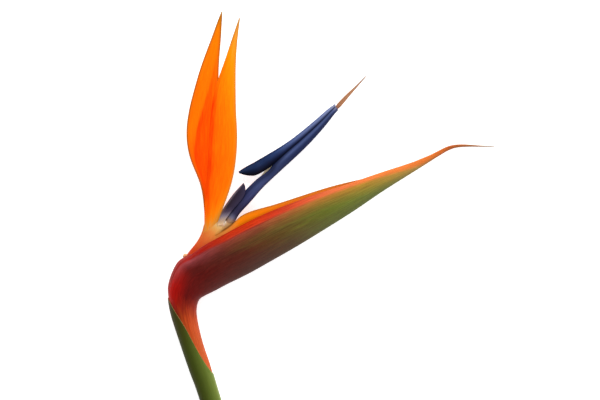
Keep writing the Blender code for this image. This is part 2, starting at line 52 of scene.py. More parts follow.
# The stalk, the neck and the beak share one envelope. Each station gives the upper edge (u, v),
# the keel edge (u, v), the half depth and the shift out of the middle plane. Places along the
# flower are counted in these stations, from 0 at the stalk's cut end to 27 at the beak's tip.
ENVELOPE = [
    (18.5, -121.7, 29.0, -118.3, 5.5, 0.0),
    (9.3, -91.7, 19.6, -88.3, 5.4, 0.0),
    (-0.3, -59.8, 9.7, -56.4, 5.3, 0.0),
    (-4.4, -48.3, 6.1, -44.5, 5.4, 0.0),
    (-8.6, -36.3, 2.0, -32.8, 5.7, 0.0),
    (-12.6, -24.3, -0.9, -21.3, 6.1, 0.0),
    (-15.0, -16.3, -1.6, -14.8, 6.8, 0.0),
    (-16.2, -8.8, -0.5, -10.3, 7.7, 0.0),
    (-15.9, -2.0, 1.5, -8.5, 8.6, 0.0),
    (-13.9, 4.3, 3.5, -7.4, 9.3, 0.0),
    (-10.8, 9.5, 6.0, -6.2, 9.8, 0.0),
    (-6.5, 12.5, 9.3, -4.5, 10.1, 0.0),
    (-1.0, 17.1, 14.0, -2.0, 10.2, 0.0),
    (6.0, 21.3, 20.0, 0.9, 9.5, 0.0),
    (14.0, 25.6, 27.0, 4.5, 8.75, 0.0),
    (24.0, 30.7, 36.0, 9.6, 7.8, 0.0),
    (35.0, 35.6, 45.5, 15.0, 6.9, 0.0),
    (47.0, 40.1, 56.0, 21.3, 5.9, 0.0),
    (60.0, 44.6, 67.0, 28.1, 4.9, 0.0),
    (74.0, 48.9, 79.0, 35.8, 3.9, 0.0),
    (88.0, 53.5, 91.0, 44.0, 2.9, 0.0),
    (101.5, 57.7, 103.8, 52.1, 2.1, 0.0),
    (112.0, 61.3, 113.5, 58.2, 1.6, 0.0),
    (119.0, 64.6, 120.5, 62.6, 1.3, 0.2),
    (124.5, 67.1, 125.5, 65.3, 1.0, 0.6),
    (131.0, 67.9, 131.0, 66.4, 0.8, 1.2),
    (139.0, 67.4, 139.0, 66.5, 0.6, 1.9),
    (146.95, 67.0, 146.95, 66.5, 0.4, 2.7),
]

# Three low points that the flower lies on: its belly, the stalk's cut end and the beak.
REST_BELLY = np.array((5.9, 10.5, -9.82))
REST_STALK = np.array((23.7, -120.0, -5.4))
REST_BEAK = np.array((112.7, 59.9, -1.55))
UPWARD = np.cross(REST_STALK - REST_BELLY, REST_BEAK - REST_BELLY)
UPWARD /= np.linalg.norm(UPWARD)
TURN = np.array(Vector(UPWARD).rotation_difference(Vector((0.0, 0.0, 1.0))).to_matrix())

# Places along the envelope, in stations, and the most that its sections are skewed.
NECK_FOOT = 2.3
MOUTH_LOW = 2.75
MOUTH_RISE = 4.25
ELBOW = 8.3
STALK_HEAD = 8.85
HEAD_ROUNDS_FROM = 6.9
SKEW_GROWS = (6.0, 12.0)
BEAK_THINS = (14.0, 21.0)
MOST_SKEW = 0.3

# Thicknesses, gaps and how near points are merged, in millimetres.
SHEATH_WALL = 0.7
SHEATH_THINS_BY = 0.42
NECK_WALL = 0.8
ELBOW_ADDS = 0.5
BEAK_LOSES = 0.4
NECK_GAP = 0.06
STALK_GAP_LOW = 0.12
STALK_GAP_HIGH = 0.2
DOUBLES_WITHIN = 0.002

STALK_AXIS = np.array((-0.296, 0.955, 0.0))
STALK_ROWS = 60
STALK_COLUMNS = 72
CUT_RINGS = 16
# The vessel strings lie about 1.1 mm apart.
VESSELS_PER_METRE = 900.0
# Edges that bend more than this stay sharp.
CREASE_ANGLE = math.radians(60.0)


def laid(points):
    """Points of the drawing on the surface: moved to the belly, turned upright, in metres."""
    return (np.asarray(points) - REST_BELLY) @ TURN.T * MM


def step(x, start, end):
    """A smooth step: with s the share of the way from start to end, 3 s^2 - 2 s^3."""
    s = np.clip((x - start) / (end - start), 0.0, 1.0)
    return s * s * (3.0 - 2.0 * s)


def through(stations, places):
    """A natural cubic spline through the stations, which lie at places 0, 1, 2 and so on."""
    rows = np.array(stations, float)
    count = len(rows)
    system = np.diag(np.full(count, 4.0))
    system += np.diag(np.ones(count - 1), 1) + np.diag(np.ones(count - 1), -1)
    system[0], system[-1] = np.eye(count)[0], np.eye(count)[-1]
    right = np.zeros_like(rows)
    right[1:-1] = 6.0 * (rows[:-2] - 2.0 * rows[1:-1] + rows[2:])
    bend = np.linalg.solve(system, right)
    places = np.asarray(places, float)
    low = np.clip(np.floor(places).astype(int), 0, count - 2)
    b = (places - low)[..., None]
    a = 1.0 - b
    straight = a * rows[low] + b * rows[low + 1]
    return straight + ((a ** 3 - a) * bend[low] + (b ** 3 - b) * bend[low + 1]) / 6.0


def oval(stations, places, angle, inset, skew=0.0):
    """Points of the oval sections at the places, moved inwards by the inset.

    A station gives the upper edge, the lower edge, the half depth and, in the envelope, a shift.
    Along the line from the lower to the upper edge a point lies at the half height times the
    cosine, and out of the plane at the half depth times the sine. A skew moves the widest place
    towards the upper edge.
    """
    places, angle, inset = np.broadcast_arrays(places, angle, inset)
    rows = through(stations, places)
    upper, lower, half_depth = rows[..., 0:2], rows[..., 2:4], rows[..., 4]
    shift = rows[..., 5] if rows.shape[-1] > 5 else 0.0
    middle = (upper + lower) / 2.0
    reach = (upper - lower) / 2.0
    height = np.linalg.norm(reach, axis=-1, keepdims=True)
    widest = 2.0 * skew / (1.0 + np.sqrt(1.0 + 8.0 * skew * skew))
    bulge = np.sin(angle) * (1.0 + skew * np.cos(angle))
    bulge = bulge / (np.sqrt(1.0 - widest * widest) * (1.0 + skew * widest))
    flat = middle + reach / height * (height - inset[..., None]) * np.cos(angle)[..., None]
    return np.concatenate([flat, (shift + (half_depth - inset) * bulge)[..., None]], axis=-1)


def envelope(places, angles, inset):
    """Points on the stalk, neck and beak, moved inwards by the inset."""
    return oval(ENVELOPE, places, angles, inset, MOST_SKEW * step(places, *SKEW_GROWS))


def round_angles(columns):
    """Angles once round a section, from its upper edge, as one row."""
    return np.linspace(0.0, 2.0 * math.pi, columns, endpoint=False)[None, :]


def grain_of(places, angles, radius, reach=0.3):
    """Where a fibre runs: its place round a barrel of the radius, and a slow count along it.

    The radius is about the piece's own, in millimetres, so the scale of a noise over the grain is
    near its number of streaks in a millimetre.
    """
    places, angles = np.broadcast_arrays(places, angles)
    return np.stack([radius * np.cos(angles), radius * np.sin(angles), places * reach], -1)


def cells(rows, columns, first=0, wrap_rows=False, wrap_columns=True):
    """Quads over a grid of point numbers: each point with its neighbours across and along."""
    number = first + np.arange(rows * columns).reshape(rows, columns)
    number = np.concatenate([number, number[:1]]) if wrap_rows else number
    number = np.concatenate([number, number[:, :1]], axis=1) if wrap_columns else number
    corners = [number[:-1, :-1], number[:-1, 1:], number[1:, 1:], number[1:, :-1]]
    return np.stack(corners, axis=-1).reshape(-1, 4)


def pole(rings, at):
    """The ring of that number shrunk to its middle, which closes an end."""
    return rings[at:][:1].mean(axis=1, keepdims=True) + 0.0 * rings[:1]


def grown(name, shape, finish, node):
    """A finished piece: laid down, doubles merged, closed rings welded and faces outwards.

    The shape gives a grid of points, the facts about them, and faces where these aren't the tube
    of the whole grid. The facts are numbers at each point, or vectors for the grain, which the
    finish reads.
    """
    points, facts, *faces = shape
    faces = faces[0] if faces else cells(*points.shape[:2])
    mesh = bpy.data.meshes.new(name)
    mesh.from_pydata(laid(points.reshape(-1, 3)).tolist(), [], faces.tolist())
    for fact, values in facts.items():
        kind, field = ("FLOAT_VECTOR", "vector") if fact == "grain" else ("FLOAT", "value")
        layer = mesh.attributes.new(fact, kind, "POINT")
        layer.data.foreach_set(field, values.astype(np.float32).ravel())
    form = bmesh.new()
    form.from_mesh(mesh)
    bmesh.ops.remove_doubles(form, verts=form.verts, dist=DOUBLES_WITHIN * MM)
    bmesh.ops.recalc_face_normals(form, faces=form.faces)
    if form.calc_volume(signed=True) < 0.0:
        bmesh.ops.reverse_faces(form, faces=form.faces)
    form.to_mesh(mesh)
    form.free()
    mesh.shade_smooth()
    mesh.set_sharp_from_angle(angle=CREASE_ANGLE)
    mesh.materials.append(finish)
    piece = bpy.data.objects.new(name, mesh)
    bpy.context.scene.collection.objects.link(piece)
    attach(piece, "root")
    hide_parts(node)


def to_linear(colour):
    """The linear colour of an sRGB hex value."""
    channels = np.array([int(colour[k:k + 2], 16) for k in (1, 3, 5)]) / 255.0
    linear = np.where(channels <= 0.04045, channels / 12.92, ((channels + 0.055) / 1.055) ** 2.4)
    return (*linear.tolist(), 1.0)


def add(tree, kind, inputs=None, out=0, stops=(), **settings):
    """Adds one node with its settings, and fills or links its inputs; gives back one output.

    The stops are the places of a ramp with their colours or shares. Colours are sRGB hex values.
    """
    made = tree.nodes.new("ShaderNode" + kind)
    for name, value in settings.items():
        setattr(made, name, value)
    for name, value in (inputs or {}).items():
        if isinstance(value, bpy.types.NodeSocket):
            tree.links.new(value, made.inputs[name])
        else:
            made.inputs[name].default_value = to_linear(value) if isinstance(value, str) else value
    for count, (place, value) in enumerate(stops):
        ramp = made.color_ramp.elements
        stop = ramp[count] if count < 2 else ramp.new(place)
        stop.position = place
        stop.color = to_linear(value) if isinstance(value, str) else (value, value, value, 1.0)
    return made.outputs[out] if len(made.outputs) else None


def new_finish(name, *facts):
    """A new material, its emptied tree, and a socket for each of the piece's facts it reads."""
    material = bpy.data.materials.new(name)
    material.use_nodes = True
    tree = material.node_tree
    tree.nodes.clear()
    outs = ["Vector" if fact == "grain" else "Fac" for fact in facts]
    read = [add(tree, "Attribute", out=out, attribute_name=fact) for fact, out in zip(facts, outs)]
    return material, tree, *read


def tissue(material, colour, relief, depth, roughness, lit=(0.0, 1.0), gloss=0.25, **sockets):
    """Living tissue: the colour, a relief of the given depth in millimetres, and a waxy skin.

    Lit is how much light goes in, and how far in millimetres; gloss is the specular level.
    """
    tree = material.node_tree
    bump = add(tree, "Bump", {"Height": relief, "Distance": depth * MM, "Strength": 1.0})
    looks = {"Base Color": colour, "Roughness": roughness, "Normal": bump, "IOR": 1.3}
    light = {"Subsurface Weight": lit[0], "Subsurface Scale": lit[1] * MM, "Specular IOR Level": gloss}
    shader = add(tree, "BsdfPrincipled", {**looks, **light, **sockets})
    add(tree, "OutputMaterial", {"Surface": shader})
    return material


def sheath_wall(places, mouth_at):
    """How thick the sheath is: full below, and thinner in the last stretch before its mouth."""
    return SHEATH_WALL - SHEATH_THINS_BY * step(places, mouth_at - 1.3, mouth_at)


def mouth(angles):
    """Where the sheath ends: high on the upper side, low on the keel side, as a raised cosine."""
    return MOUTH_LOW + MOUTH_RISE * ((1.0 + np.cos(angles)) / 2.0) ** 1.15


def covered(places, angles):
    """How far the sheath presses the neck in: its wall and a hair's gap, and none above it."""
    ends = mouth(angles)
    pressed = sheath_wall(places, ends) + NECK_GAP
    return pressed * (1.0 - step(places, ends + 0.05, ends + 0.75))


def spathe_wall(places):
    """The spathe's thickness: thin at the foot of the neck, most at the elbow, then less."""
    thicker = ELBOW_ADDS * step(places, NECK_FOOT, ELBOW)
    return NECK_WALL + thicker - BEAK_LOSES * step(places, *BEAK_THINS)


def stalk():
    """The stalk's side up to a rounded head, and its cut end as rings that shrink to the middle.
    The cut sinks to the middle by a parabola, and to its rim by the eighth power.
    """
    angles = round_angles(STALK_COLUMNS)
    low = np.linspace(0.0, NECK_FOOT - 0.03, STALK_ROWS)[:, None]
    high = np.linspace(NECK_FOOT, STALK_HEAD, STALK_ROWS)[:, None]
    side_low = envelope(low, angles, sheath_wall(low, mouth(angles)) + STALK_GAP_LOW)
    side_high = envelope(high, angles, covered(high, angles) + spathe_wall(high) + STALK_GAP_HIGH)
    rise = step(high, HEAD_ROUNDS_FROM, STALK_HEAD + 0.05)
    heart = side_high.mean(axis=1, keepdims=True)
    side_high = heart + (side_high - heart) * np.sqrt(1.0 - rise ** 2)[..., None]
    share = np.linspace(0.0, 1.0, CUT_RINGS)[:-1, None, None]
    rim = side_low[:1]
    centre = rim.mean(axis=1, keepdims=True)
    dip = 0.35 * (1.0 - share ** 2) + 0.12 * share ** 8
    cut = centre + (rim - centre) * np.minimum(share, 0.97) + STALK_AXIS * (0.3 - dip)
    points = np.concatenate([cut, side_low, side_high, pole(side_high, -1)])
    places = np.concatenate([np.zeros(len(cut)), low[:, 0], high[:, 0], [STALK_HEAD]])[:, None]
    inside = np.concatenate([1.0 - share[:, 0, 0], np.zeros(len(points) - len(cut))])[:, None]
    return points, {"grain": grain_of(places, angles, 5.0), "inside": inside * np.ones(angles.shape)}


def stalk_finish():
    """Scape tissue: green satin skin; where it is cut, damp pale pith with darker vessel dots."""
    material, tree, grain, inside = new_finish("stalk_skin_and_pith", "grain", "inside")
    fibres = add(tree, "TexNoise", {"Vector": grain, "Scale": 2.2, "Detail": 3.0})
    skin = add(tree, "ValToRGB", {"Fac": fibres}, stops=[(0.3, "#4E5F1E"), (0.7, "#6F8236")])
    spot = add(tree, "TexCoord", out="Object")
    vessels = add(tree, "TexVoronoi", {"Vector": spot, "Scale": VESSELS_PER_METRE}, out="Distance")
    pith = add(tree, "ValToRGB", {"Fac": vessels},
               stops=[(0.12, "#8C7B45"), (0.26, "#C9C48C"), (1.0, "#D9D6A6")])
    ring = add(tree, "ValToRGB", {"Fac": inside}, stops=[(0.0, 0.0), (0.1, 1.0)])
    colour = add(tree, "MixRGB", {"Fac": ring, "Color1": skin, "Color2": pith})
    return tissue(material, colour, vessels, 0.15, 0.42, (0.15, 1.5))


grown("stalk", stalk(), stalk_finish(), "stem")

# The sheath.
# A leaf-like bract wrapped round the stalk: tough green tissue with fine parallel veins, whose
# thin pale margin is cut on a slant and lies against the neck.

# How far the drawn skins lie inside their envelope, so that their ridges stay within it.
SKIN_DEPTH = 0.05
SHEATH_ROWS = 220
SHEATH_COLUMNS = 132
SHEATH_VEINS = 31.0


def seated(points):
    """The points with every one that lies under the surface lifted straight up onto it."""
    depth = (points - REST_BELLY) @ UPWARD
    return points - np.minimum(depth, 0.0)[..., None] * UPWARD


def veins(angles, places, count, depth):
    """Fine ridges along a leaf: the depth times a cosine of the turn, uneven from vein to vein."""
    beat = np.cos(count * angles + 0.9 * np.sin(3.0 * angles))
    return depth * (beat * (0.7 + 0.3 * np.cos(5.0 * angles + places)))


def sheath():
    """The outer face up to the mouth, a rounded margin, and the inner face back down."""
    angles = round_angles(SHEATH_COLUMNS)
    ends = mouth(angles)
    places = np.linspace(0.0, 1.0, SHEATH_ROWS)[:, None] ** 0.9 * ends
    thick = sheath_wall(places, ends)
    rounding = 1.0 - np.sqrt(np.clip(1.0 - step(places, ends - 0.05, ends) ** 2, 0.0, 1.0))
    round_off = thick / 2.0 * rounding
    raised = veins(angles, places, SHEATH_VEINS, 0.025)
    outer = seated(envelope(places, angles, SKIN_DEPTH + round_off - raised))
    inner = envelope(places, angles, thick - round_off)
    points = np.concatenate([outer, inner[::-1]])
    both = np.concatenate([places, places[::-1]])
    turn = (1.0 - np.cos(angles)) / 2.0 * np.ones(both.shape)
    facts = {"grain": grain_of(both, angles, 6.0), "along": both, "edge": ends - both, "around": turn}
    return points, facts, cells(*points.shape[:2], wrap_rows=True)


def sheath_finish():
    """Bract: satin green leaf skin with darker veins, painted shade along its upper edge and painted
    light towards its keel, a bronze flush high up, a dry tan margin.
    """
    facts = ("grain", "edge", "around", "along")
    material, tree, grain, edge, around, along = new_finish("green_bract", *facts)
    fibres = add(tree, "TexNoise", {"Vector": grain, "Scale": 2.6, "Detail": 4.0, "Roughness": 0.65})
    cloud = add(tree, "TexNoise", {"Vector": grain, "Scale": 0.35, "Detail": 2.0})
    # Painted light and shade: darker along the upper edge and lighter towards the keel, as the light falls.
    green = add(tree, "ValToRGB", {"Fac": around}, stops=[
        (0.0, "#3E4018"), (0.35, "#465018"), (0.65, "#586624"), (0.9, "#6E7E36"), (1.0, "#8C9A58")])
    dark = add(tree, "MixRGB", {"Fac": fibres, "Color1": green, "Color2": "#343E12"})
    leaf = add(tree, "MixRGB", {"Fac": 0.55, "Color1": green, "Color2": dark})
    place = add(tree, "Math", {0: along, 1: MOUTH_LOW + MOUTH_RISE}, operation="DIVIDE")
    bronze = add(tree, "ValToRGB", {"Fac": place}, stops=[(0.55, 0.0), (1.0, 1.0)])
    flush = add(tree, "Math", {0: bronze, 1: cloud}, operation="MULTIPLY")
    bronzed = add(tree, "MixRGB", {"Fac": flush, "Color1": leaf, "Color2": "#4A2810"})
    dry = add(tree, "ValToRGB", {"Fac": edge}, stops=[(0.0, 0.9), (0.05, 0.0)])
    colour = add(tree, "MixRGB", {"Fac": dry, "Color1": bronzed, "Color2": "#B89A62"})
    rough = add(tree, "ValToRGB", {"Fac": fibres}, stops=[(0.2, 0.36), (0.8, 0.5)])
    return tissue(material, colour, fibres, 0.06, rough, (0.04, 0.8), 0.1)


grown("sheath", sheath(), sheath_finish(), "sheath")

# The spathe.
# The beak: a thick keeled bract folded lengthways, crimson at the elbow, brown purple and then
# green along its flanks, with a red and orange lip on each side of the slit along its top.

# Places in stations, and at some of them half the angle that the slit opens to.
SLIT_START = 11.0
SLIT_END = 21.8
HOLLOW_END = 22.3
BEAK_TIP = 27.0
TAIL_START = 22.6
OPENING_ROUNDS = 0.8
CLOSING_ROUNDS = 0.6
SLIT_PLACES = (11.0, 13.5, 19.0, 21.0, 21.8)
SLIT_ANGLES = (0.45, 0.45, 0.35, 0.26, 0.15)
SPATHE_COLUMNS = 121
SPATHE_RIBS = 37.0
RIBS_RISE = (3.0, 6.0)
RIBS_FADE = (20.0, 24.0)
NECK_ROWS = 110
OPENING_ROWS = 24
FLANK_ROWS = 170
CLOSING_ROWS = 16
TAIL_ROWS = 90
# The lip's greatest width, and how far the ramps below its edge reach, in millimetres.
LIP_SPAN = 8.0
BELOW_SPAN = 7.0
OUT_OF_REACH = 99.0


def slit(places):
    """Half the slit's opening angle: from the table, with round ends."""
    start = np.clip((places - SLIT_START) / OPENING_ROUNDS, 0.0, 1.0)
    end = np.clip((SLIT_END - places) / CLOSING_ROUNDS, 0.0, 1.0)
    rounding = np.sqrt((1.0 - (1.0 - start) ** 2) * (1.0 - (1.0 - end) ** 2))
    return np.interp(places, SLIT_PLACES, SLIT_ANGLES) * rounding


def beak_skin(places, inset, ribs):
    """The section's points from one margin round the keel to the other, with low ribs."""
    places = places[:, None]
    turns = np.linspace(-1.0, 1.0, SPATHE_COLUMNS)[None, :]
    turns = turns + 0.12 * np.sin(math.pi * turns)
    angles = math.pi + turns * (math.pi - slit(places))
    ribbed = step(places, *RIBS_RISE) * (1.0 - step(places, *RIBS_FADE))
    raised = ribs * veins(angles, places, SPATHE_RIBS, 0.03) * ribbed
    return envelope(places, angles, covered(places, angles) + inset - raised), angles


def spathe():
    """An outer and an inner skin, joined round the foot and along rounded margins of the slit."""
    neck = np.linspace(NECK_FOOT, SLIT_START, NECK_ROWS)
    opening = SLIT_START + np.linspace(0.0, 1.0, OPENING_ROWS)[1:] ** 2
    flank = np.linspace(SLIT_START + 1.0, SLIT_END - CLOSING_ROUNDS, FLANK_ROWS)[1:]
    closing = SLIT_END - CLOSING_ROUNDS * np.linspace(1.0, 0.0, CLOSING_ROWS)[1:] ** 2
    places = np.concatenate([neck, opening, flank, closing])
    tail = np.concatenate([[HOLLOW_END], np.linspace(TAIL_START, BEAK_TIP, TAIL_ROWS)])
    outer_places = np.concatenate([places, tail])
    wall = spathe_wall(places)[:, None]
    outer, outer_angles = beak_skin(outer_places, SKIN_DEPTH, 1.0)
    outer = seated(outer)
    inner, inner_angles = beak_skin(places, wall, 0.0)
    # The margins are rounded by drawing the two skins together over half a wall and a little.
    opened = step(places, SLIT_START, SLIT_START + 0.5)
    opened = opened * (1.0 - step(places, SLIT_END - 0.4, SLIT_END))
    count = len(places)
    facing = outer[:count].copy()
    gap = np.min([np.linalg.norm(facing - facing[:, [k]], axis=-1) for k in (0, -1)], axis=0)
    near = np.clip(1.0 - gap / (wall / 2.0 + 0.35), 0.0, 1.0)
    pull = (opened[:, None] * (1.0 - np.sqrt(1.0 - near ** 2)) / 2.0)[..., None]
    outer[:count] = facing + (inner - facing) * pull
    inner = inner + (facing - inner) * pull
    outer = np.concatenate([outer, pole(outer, -1)])
    inner = np.concatenate([inner, pole(inner, -1)])
    columns = SPATHE_COLUMNS
    base = len(outer) * columns
    margin = np.arange(len(neck) - 1, count) * columns
    faces = [
        cells(len(outer), columns, wrap_columns=False),
        cells(len(inner), columns, first=base, wrap_columns=False),
    ]
    for seam in (np.arange(columns), margin, margin + columns - 1):
        faces.append(np.stack([seam[:-1], seam[1:], base + seam[1:], base + seam[:-1]], -1))
    all_places = np.concatenate([outer_places, [BEAK_TIP], places, [SLIT_END]])[:, None] * np.ones(columns)
    angles = np.concatenate([outer_angles, outer_angles[-1:], inner_angles, inner_angles[-1:]])
    no_gap = np.full((len(outer) - count, columns), OUT_OF_REACH)
    # How far a point lies from the slit: the lesser of the straight way and the way round.
    rows = through(ENVELOPE, all_places)
    height = np.linalg.norm(rows[..., 0:2] - rows[..., 2:4], axis=-1)
    from_top = np.minimum(np.abs(angles), np.abs(2.0 * math.pi - angles))
    top = height / 2.0 * np.maximum(from_top - np.interp(all_places, SLIT_PLACES, SLIT_ANGLES), 0.0)
    lining = np.concatenate([np.zeros((len(outer), columns)), np.ones((len(inner), columns))])
    facts = {
        "grain": grain_of(all_places, angles, 9.0),
        "along": all_places,
        "around": (1.0 - np.cos(angles)) / 2.0,
        "margin": np.minimum(np.concatenate([gap, no_gap, gap, gap[-1:]]), top),
        "lining": lining,
    }
    return np.concatenate([outer, inner]), facts, np.concatenate(faces)


def in_stations(*stops):
    """The stops of a ramp along the spathe, whose places are given in stations."""
    return [(place / BEAK_TIP, value) for place, value in stops]


def threaded(tree, colour, fibres, share, dark, light):
    """The colour multiplied, by the share, with a ramp over the fibres from a dark to a light stop."""
    thread = add(tree, "ValToRGB", {"Fac": fibres}, stops=[dark, light])
    inputs = {"Fac": share, "Color1": colour, "Color2": thread}
    return add(tree, "MixRGB", inputs, blend_type="MULTIPLY")


def spathe_finish():
    """Bract tissue: streaked pigments that follow the fibres, a red lip, a band below it that is
    partly a pink flush and partly a painted highlight, painted shade under the rolled lip, and
    painted shade and a grey painted sheen along the keel.
    """
    facts = ("grain", "along", "around", "margin", "lining")
    material, tree, grain, along, around, margin, lining = new_finish("spathe_bract", *facts)
    streaks = add(tree, "TexNoise", {"Vector": grain, "Scale": 1.5, "Detail": 4.0, "Roughness": 0.6})
    hairs = add(tree, "TexNoise", {"Vector": grain, "Scale": 4.5, "Detail": 3.0, "Roughness": 0.7})
    spread = add(tree, "Math", {0: streaks, 1: -0.5}, operation="ADD")
    wander = add(tree, "Math", {0: spread, 1: 3.2}, operation="MULTIPLY")
    place = add(tree, "Math", {0: along, 1: wander}, operation="ADD")
    # Under the beak the purple reaches farther than along its top.
    late = add(tree, "ValToRGB", {"Fac": around}, stops=[(0.45, 0.0), (0.86, 1.0)])
    station = add(tree, "Math", {0: along, 1: BEAK_TIP}, operation="DIVIDE")
    reach = add(tree, "ValToRGB", {"Fac": station}, stops=in_stations(
        (9.5, 0.0), (12.0, 1.0), (16.2, 1.0), (17.2, 0.45)))
    under = add(tree, "Math", {0: late, 1: reach}, operation="MULTIPLY")
    delay = add(tree, "Math", {0: under, 1: 1.4}, operation="MULTIPLY")
    place = add(tree, "Math", {0: place, 1: delay}, operation="SUBTRACT")
    place = add(tree, "Math", {0: place, 1: BEAK_TIP}, operation="DIVIDE")
    # The pigments from the neck to the beak's tip.
    flank = add(tree, "ValToRGB", {"Fac": place}, stops=in_stations(
        (3.6, "#D4602C"), (5.2, "#C2481C"), (6.4, "#8E2414"), (7.5, "#6E1412"), (11.0, "#5E1814"),
        (13.2, "#5A261C"), (14.7, "#603E20"), (16.2, "#685A28"), (17.8, "#6E762C"), (19.6, "#7C8438"),
        (20.9, "#8C883E"), (22.2, "#BC8C48"), (23.2, "#C46028"), (BEAK_TIP, "#A48058")))
    # Crimson on the back of the elbow, where the most light has reached it.
    back = add(tree, "ValToRGB", {"Fac": around}, stops=[(0.1, 1.0), (0.56, 0.0)])
    elbow = add(tree, "ValToRGB", {"Fac": station}, stops=in_stations(
        (5.8, 0.0), (7.0, 1.0), (8.3, 1.0), (10.2, 0.0)))
    reddened = add(tree, "Math", {0: back, 1: elbow}, operation="MULTIPLY")
    body = add(tree, "MixRGB", {"Fac": reddened, "Color1": flank, "Color2": "#CE140A"})
    ragged = add(tree, "Math", {0: hairs, 1: 0.7}, operation="MULTIPLY")
    near = add(tree, "Math", {0: margin, 1: ragged}, operation="ADD")
    # The lip is widest near the elbow; the ramp gives its width as a share of the span.
    wide = add(tree, "ValToRGB", {"Fac": station}, stops=in_stations(
        (8.0, 0.22), (10.5, 0.4), (12.0, 0.62), (13.5, 0.68), (15.5, 0.68), (17.0, 0.57),
        (19.0, 0.42), (21.5, 0.46)))
    width = add(tree, "Math", {0: wide, 1: LIP_SPAN}, operation="MULTIPLY")
    past = add(tree, "Math", {0: near, 1: width}, operation="SUBTRACT")
    # The share runs from 1 mm inside the lip's edge to 6 mm below it.
    past = add(tree, "Math", {0: past, 1: 1.0}, operation="ADD")
    below = add(tree, "Math", {0: past, 1: BELOW_SPAN}, operation="DIVIDE")
    # A band below the lip: partly a pink flush of its own, partly a painted highlight where the shoulder
    # turns to the light.
    flush = add(tree, "ValToRGB", {"Fac": below}, stops=[(0.1, 0.95), (0.35, 0.62), (0.62, 0.25), (1.0, 0.0)])
    flush_and_highlight_begins = add(tree, "ValToRGB", {"Fac": station}, stops=in_stations((8.0, 0.0), (9.5, 0.85)))
    flush = add(tree, "Math", {0: flush, 1: flush_and_highlight_begins}, operation="MULTIPLY")
    flush_and_highlight_colour = add(tree, "ValToRGB", {"Fac": station}, stops=in_stations(
        (9.0, "#CA5050"), (10.8, "#BC565C"), (12.0, "#A4484A"), (13.4, "#983E30"), (15.0, "#A84634"),
        (16.2, "#BE5A34"), (18.0, "#CA7430"), (19.4, "#CC8C2E"), (21.5, "#D09C50"), (23.0, "#C46028"),
        (BEAK_TIP, "#A48058")))
    flushed_and_highlit = add(tree, "MixRGB", {"Fac": flush, "Color1": body, "Color2": flush_and_highlight_colour})
    lip = add(tree, "ValToRGB", {"Fac": station}, stops=in_stations(
        (8.0, "#A0160E"), (10.0, "#A4140C"), (12.0, "#A81A0C"), (13.2, "#B82A10"), (14.0, "#CA3414"),
        (15.0, "#D2360C"), (16.2, "#D23A1C"), (17.2, "#DE5430"), (18.4, "#EE7643"), (20.0, "#F88840"),
        (22.4, "#EA7C34"), (24.0, "#C4622A"), (BEAK_TIP, "#A48058")))
    at_lip = add(tree, "ValToRGB", {"Fac": below}, stops=[(0.03, 1.0), (0.2, 0.0)])
    started = add(tree, "ValToRGB", {"Fac": station}, stops=in_stations((7.0, 0.0), (8.4, 1.0)))
    lipped = add(tree, "Math", {0: at_lip, 1: started}, operation="MULTIPLY")
    lips = add(tree, "MixRGB", {"Fac": lipped, "Color1": flushed_and_highlit, "Color2": lip})
    # A thin dark line where the rolled lip ends: painted shade under the rolled lip.
    shade_under_lip = add(tree, "ValToRGB", {"Fac": below}, stops=[(0.07, 0.0), (0.13, 0.55), (0.2, 0.0)])
    rolled = add(tree, "ValToRGB", {"Fac": station}, stops=in_stations(
        (10.0, 0.0), (12.0, 1.0), (15.2, 1.0), (16.5, 0.0)))
    lined = add(tree, "Math", {0: shade_under_lip, 1: rolled}, operation="MULTIPLY")
    painted = add(tree, "MixRGB", {"Fac": lined, "Color1": lips, "Color2": "#86160E"})
    streaked = threaded(tree, painted, hairs, 0.55, (0.34, "#808080"), (0.66, "#FFFFFF"))
    # Painted shade and a grey painted sheen along the keel, which faces down, away from the light.
    keel = add(tree, "ValToRGB", {"Fac": around}, stops=[(0.62, 0.0), (0.84, 0.24), (1.0, 0.4)])
    greyed = add(tree, "ValToRGB", {"Fac": station}, stops=in_stations((9.0, 0.15), (14.5, 1.0)))
    keel = add(tree, "Math", {0: keel, 1: greyed}, operation="MULTIPLY")
    painted_lighting = add(tree, "MixRGB", {"Fac": keel, "Color1": streaked, "Color2": "#4C5048"})
    colour = add(tree, "MixRGB", {"Fac": lining, "Color1": painted_lighting, "Color2": "#C98A4A"})
    rough = add(tree, "ValToRGB", {"Fac": streaks}, stops=[(0.3, 0.34), (0.7, 0.48)])
    return tissue(material, colour, hairs, 0.07, rough, (0.04, 0.8), 0.1)


grown("spathe", spathe(), spathe_finish(), "spathe")

# The nectar drop.
# A bead of sap that has dried on the crest of the elbow, where the slit starts: a glossy
# amber lump.

DROP_AT = (-7.3, 11.9, 0.0)
DROP_RADIUS = 1.4
DROP_ROWS = 33
DROP_COLUMNS = 48
# Its bumps are about 1.1 mm across.
BUMPS_PER_METRE = 900.0


def nectar_drop():
    """A ball whose radius swells by a low wave round it, so that it looks poured, not turned."""
    polar = np.linspace(0.0, math.pi, DROP_ROWS)[:, None]
    turn = round_angles(DROP_COLUMNS)
    radius = DROP_RADIUS * (0.96 + 0.04 * np.cos(3.0 * turn + 1.0) * np.sin(polar) ** 2)
    level = radius * np.sin(polar)
    upright = radius * np.cos(polar) * np.ones(turn.shape)
    points = np.array(DROP_AT) + np.stack([level * np.cos(turn), upright, level * np.sin(turn)], -1)
    return points, {"height": polar / math.pi * np.ones(turn.shape)}


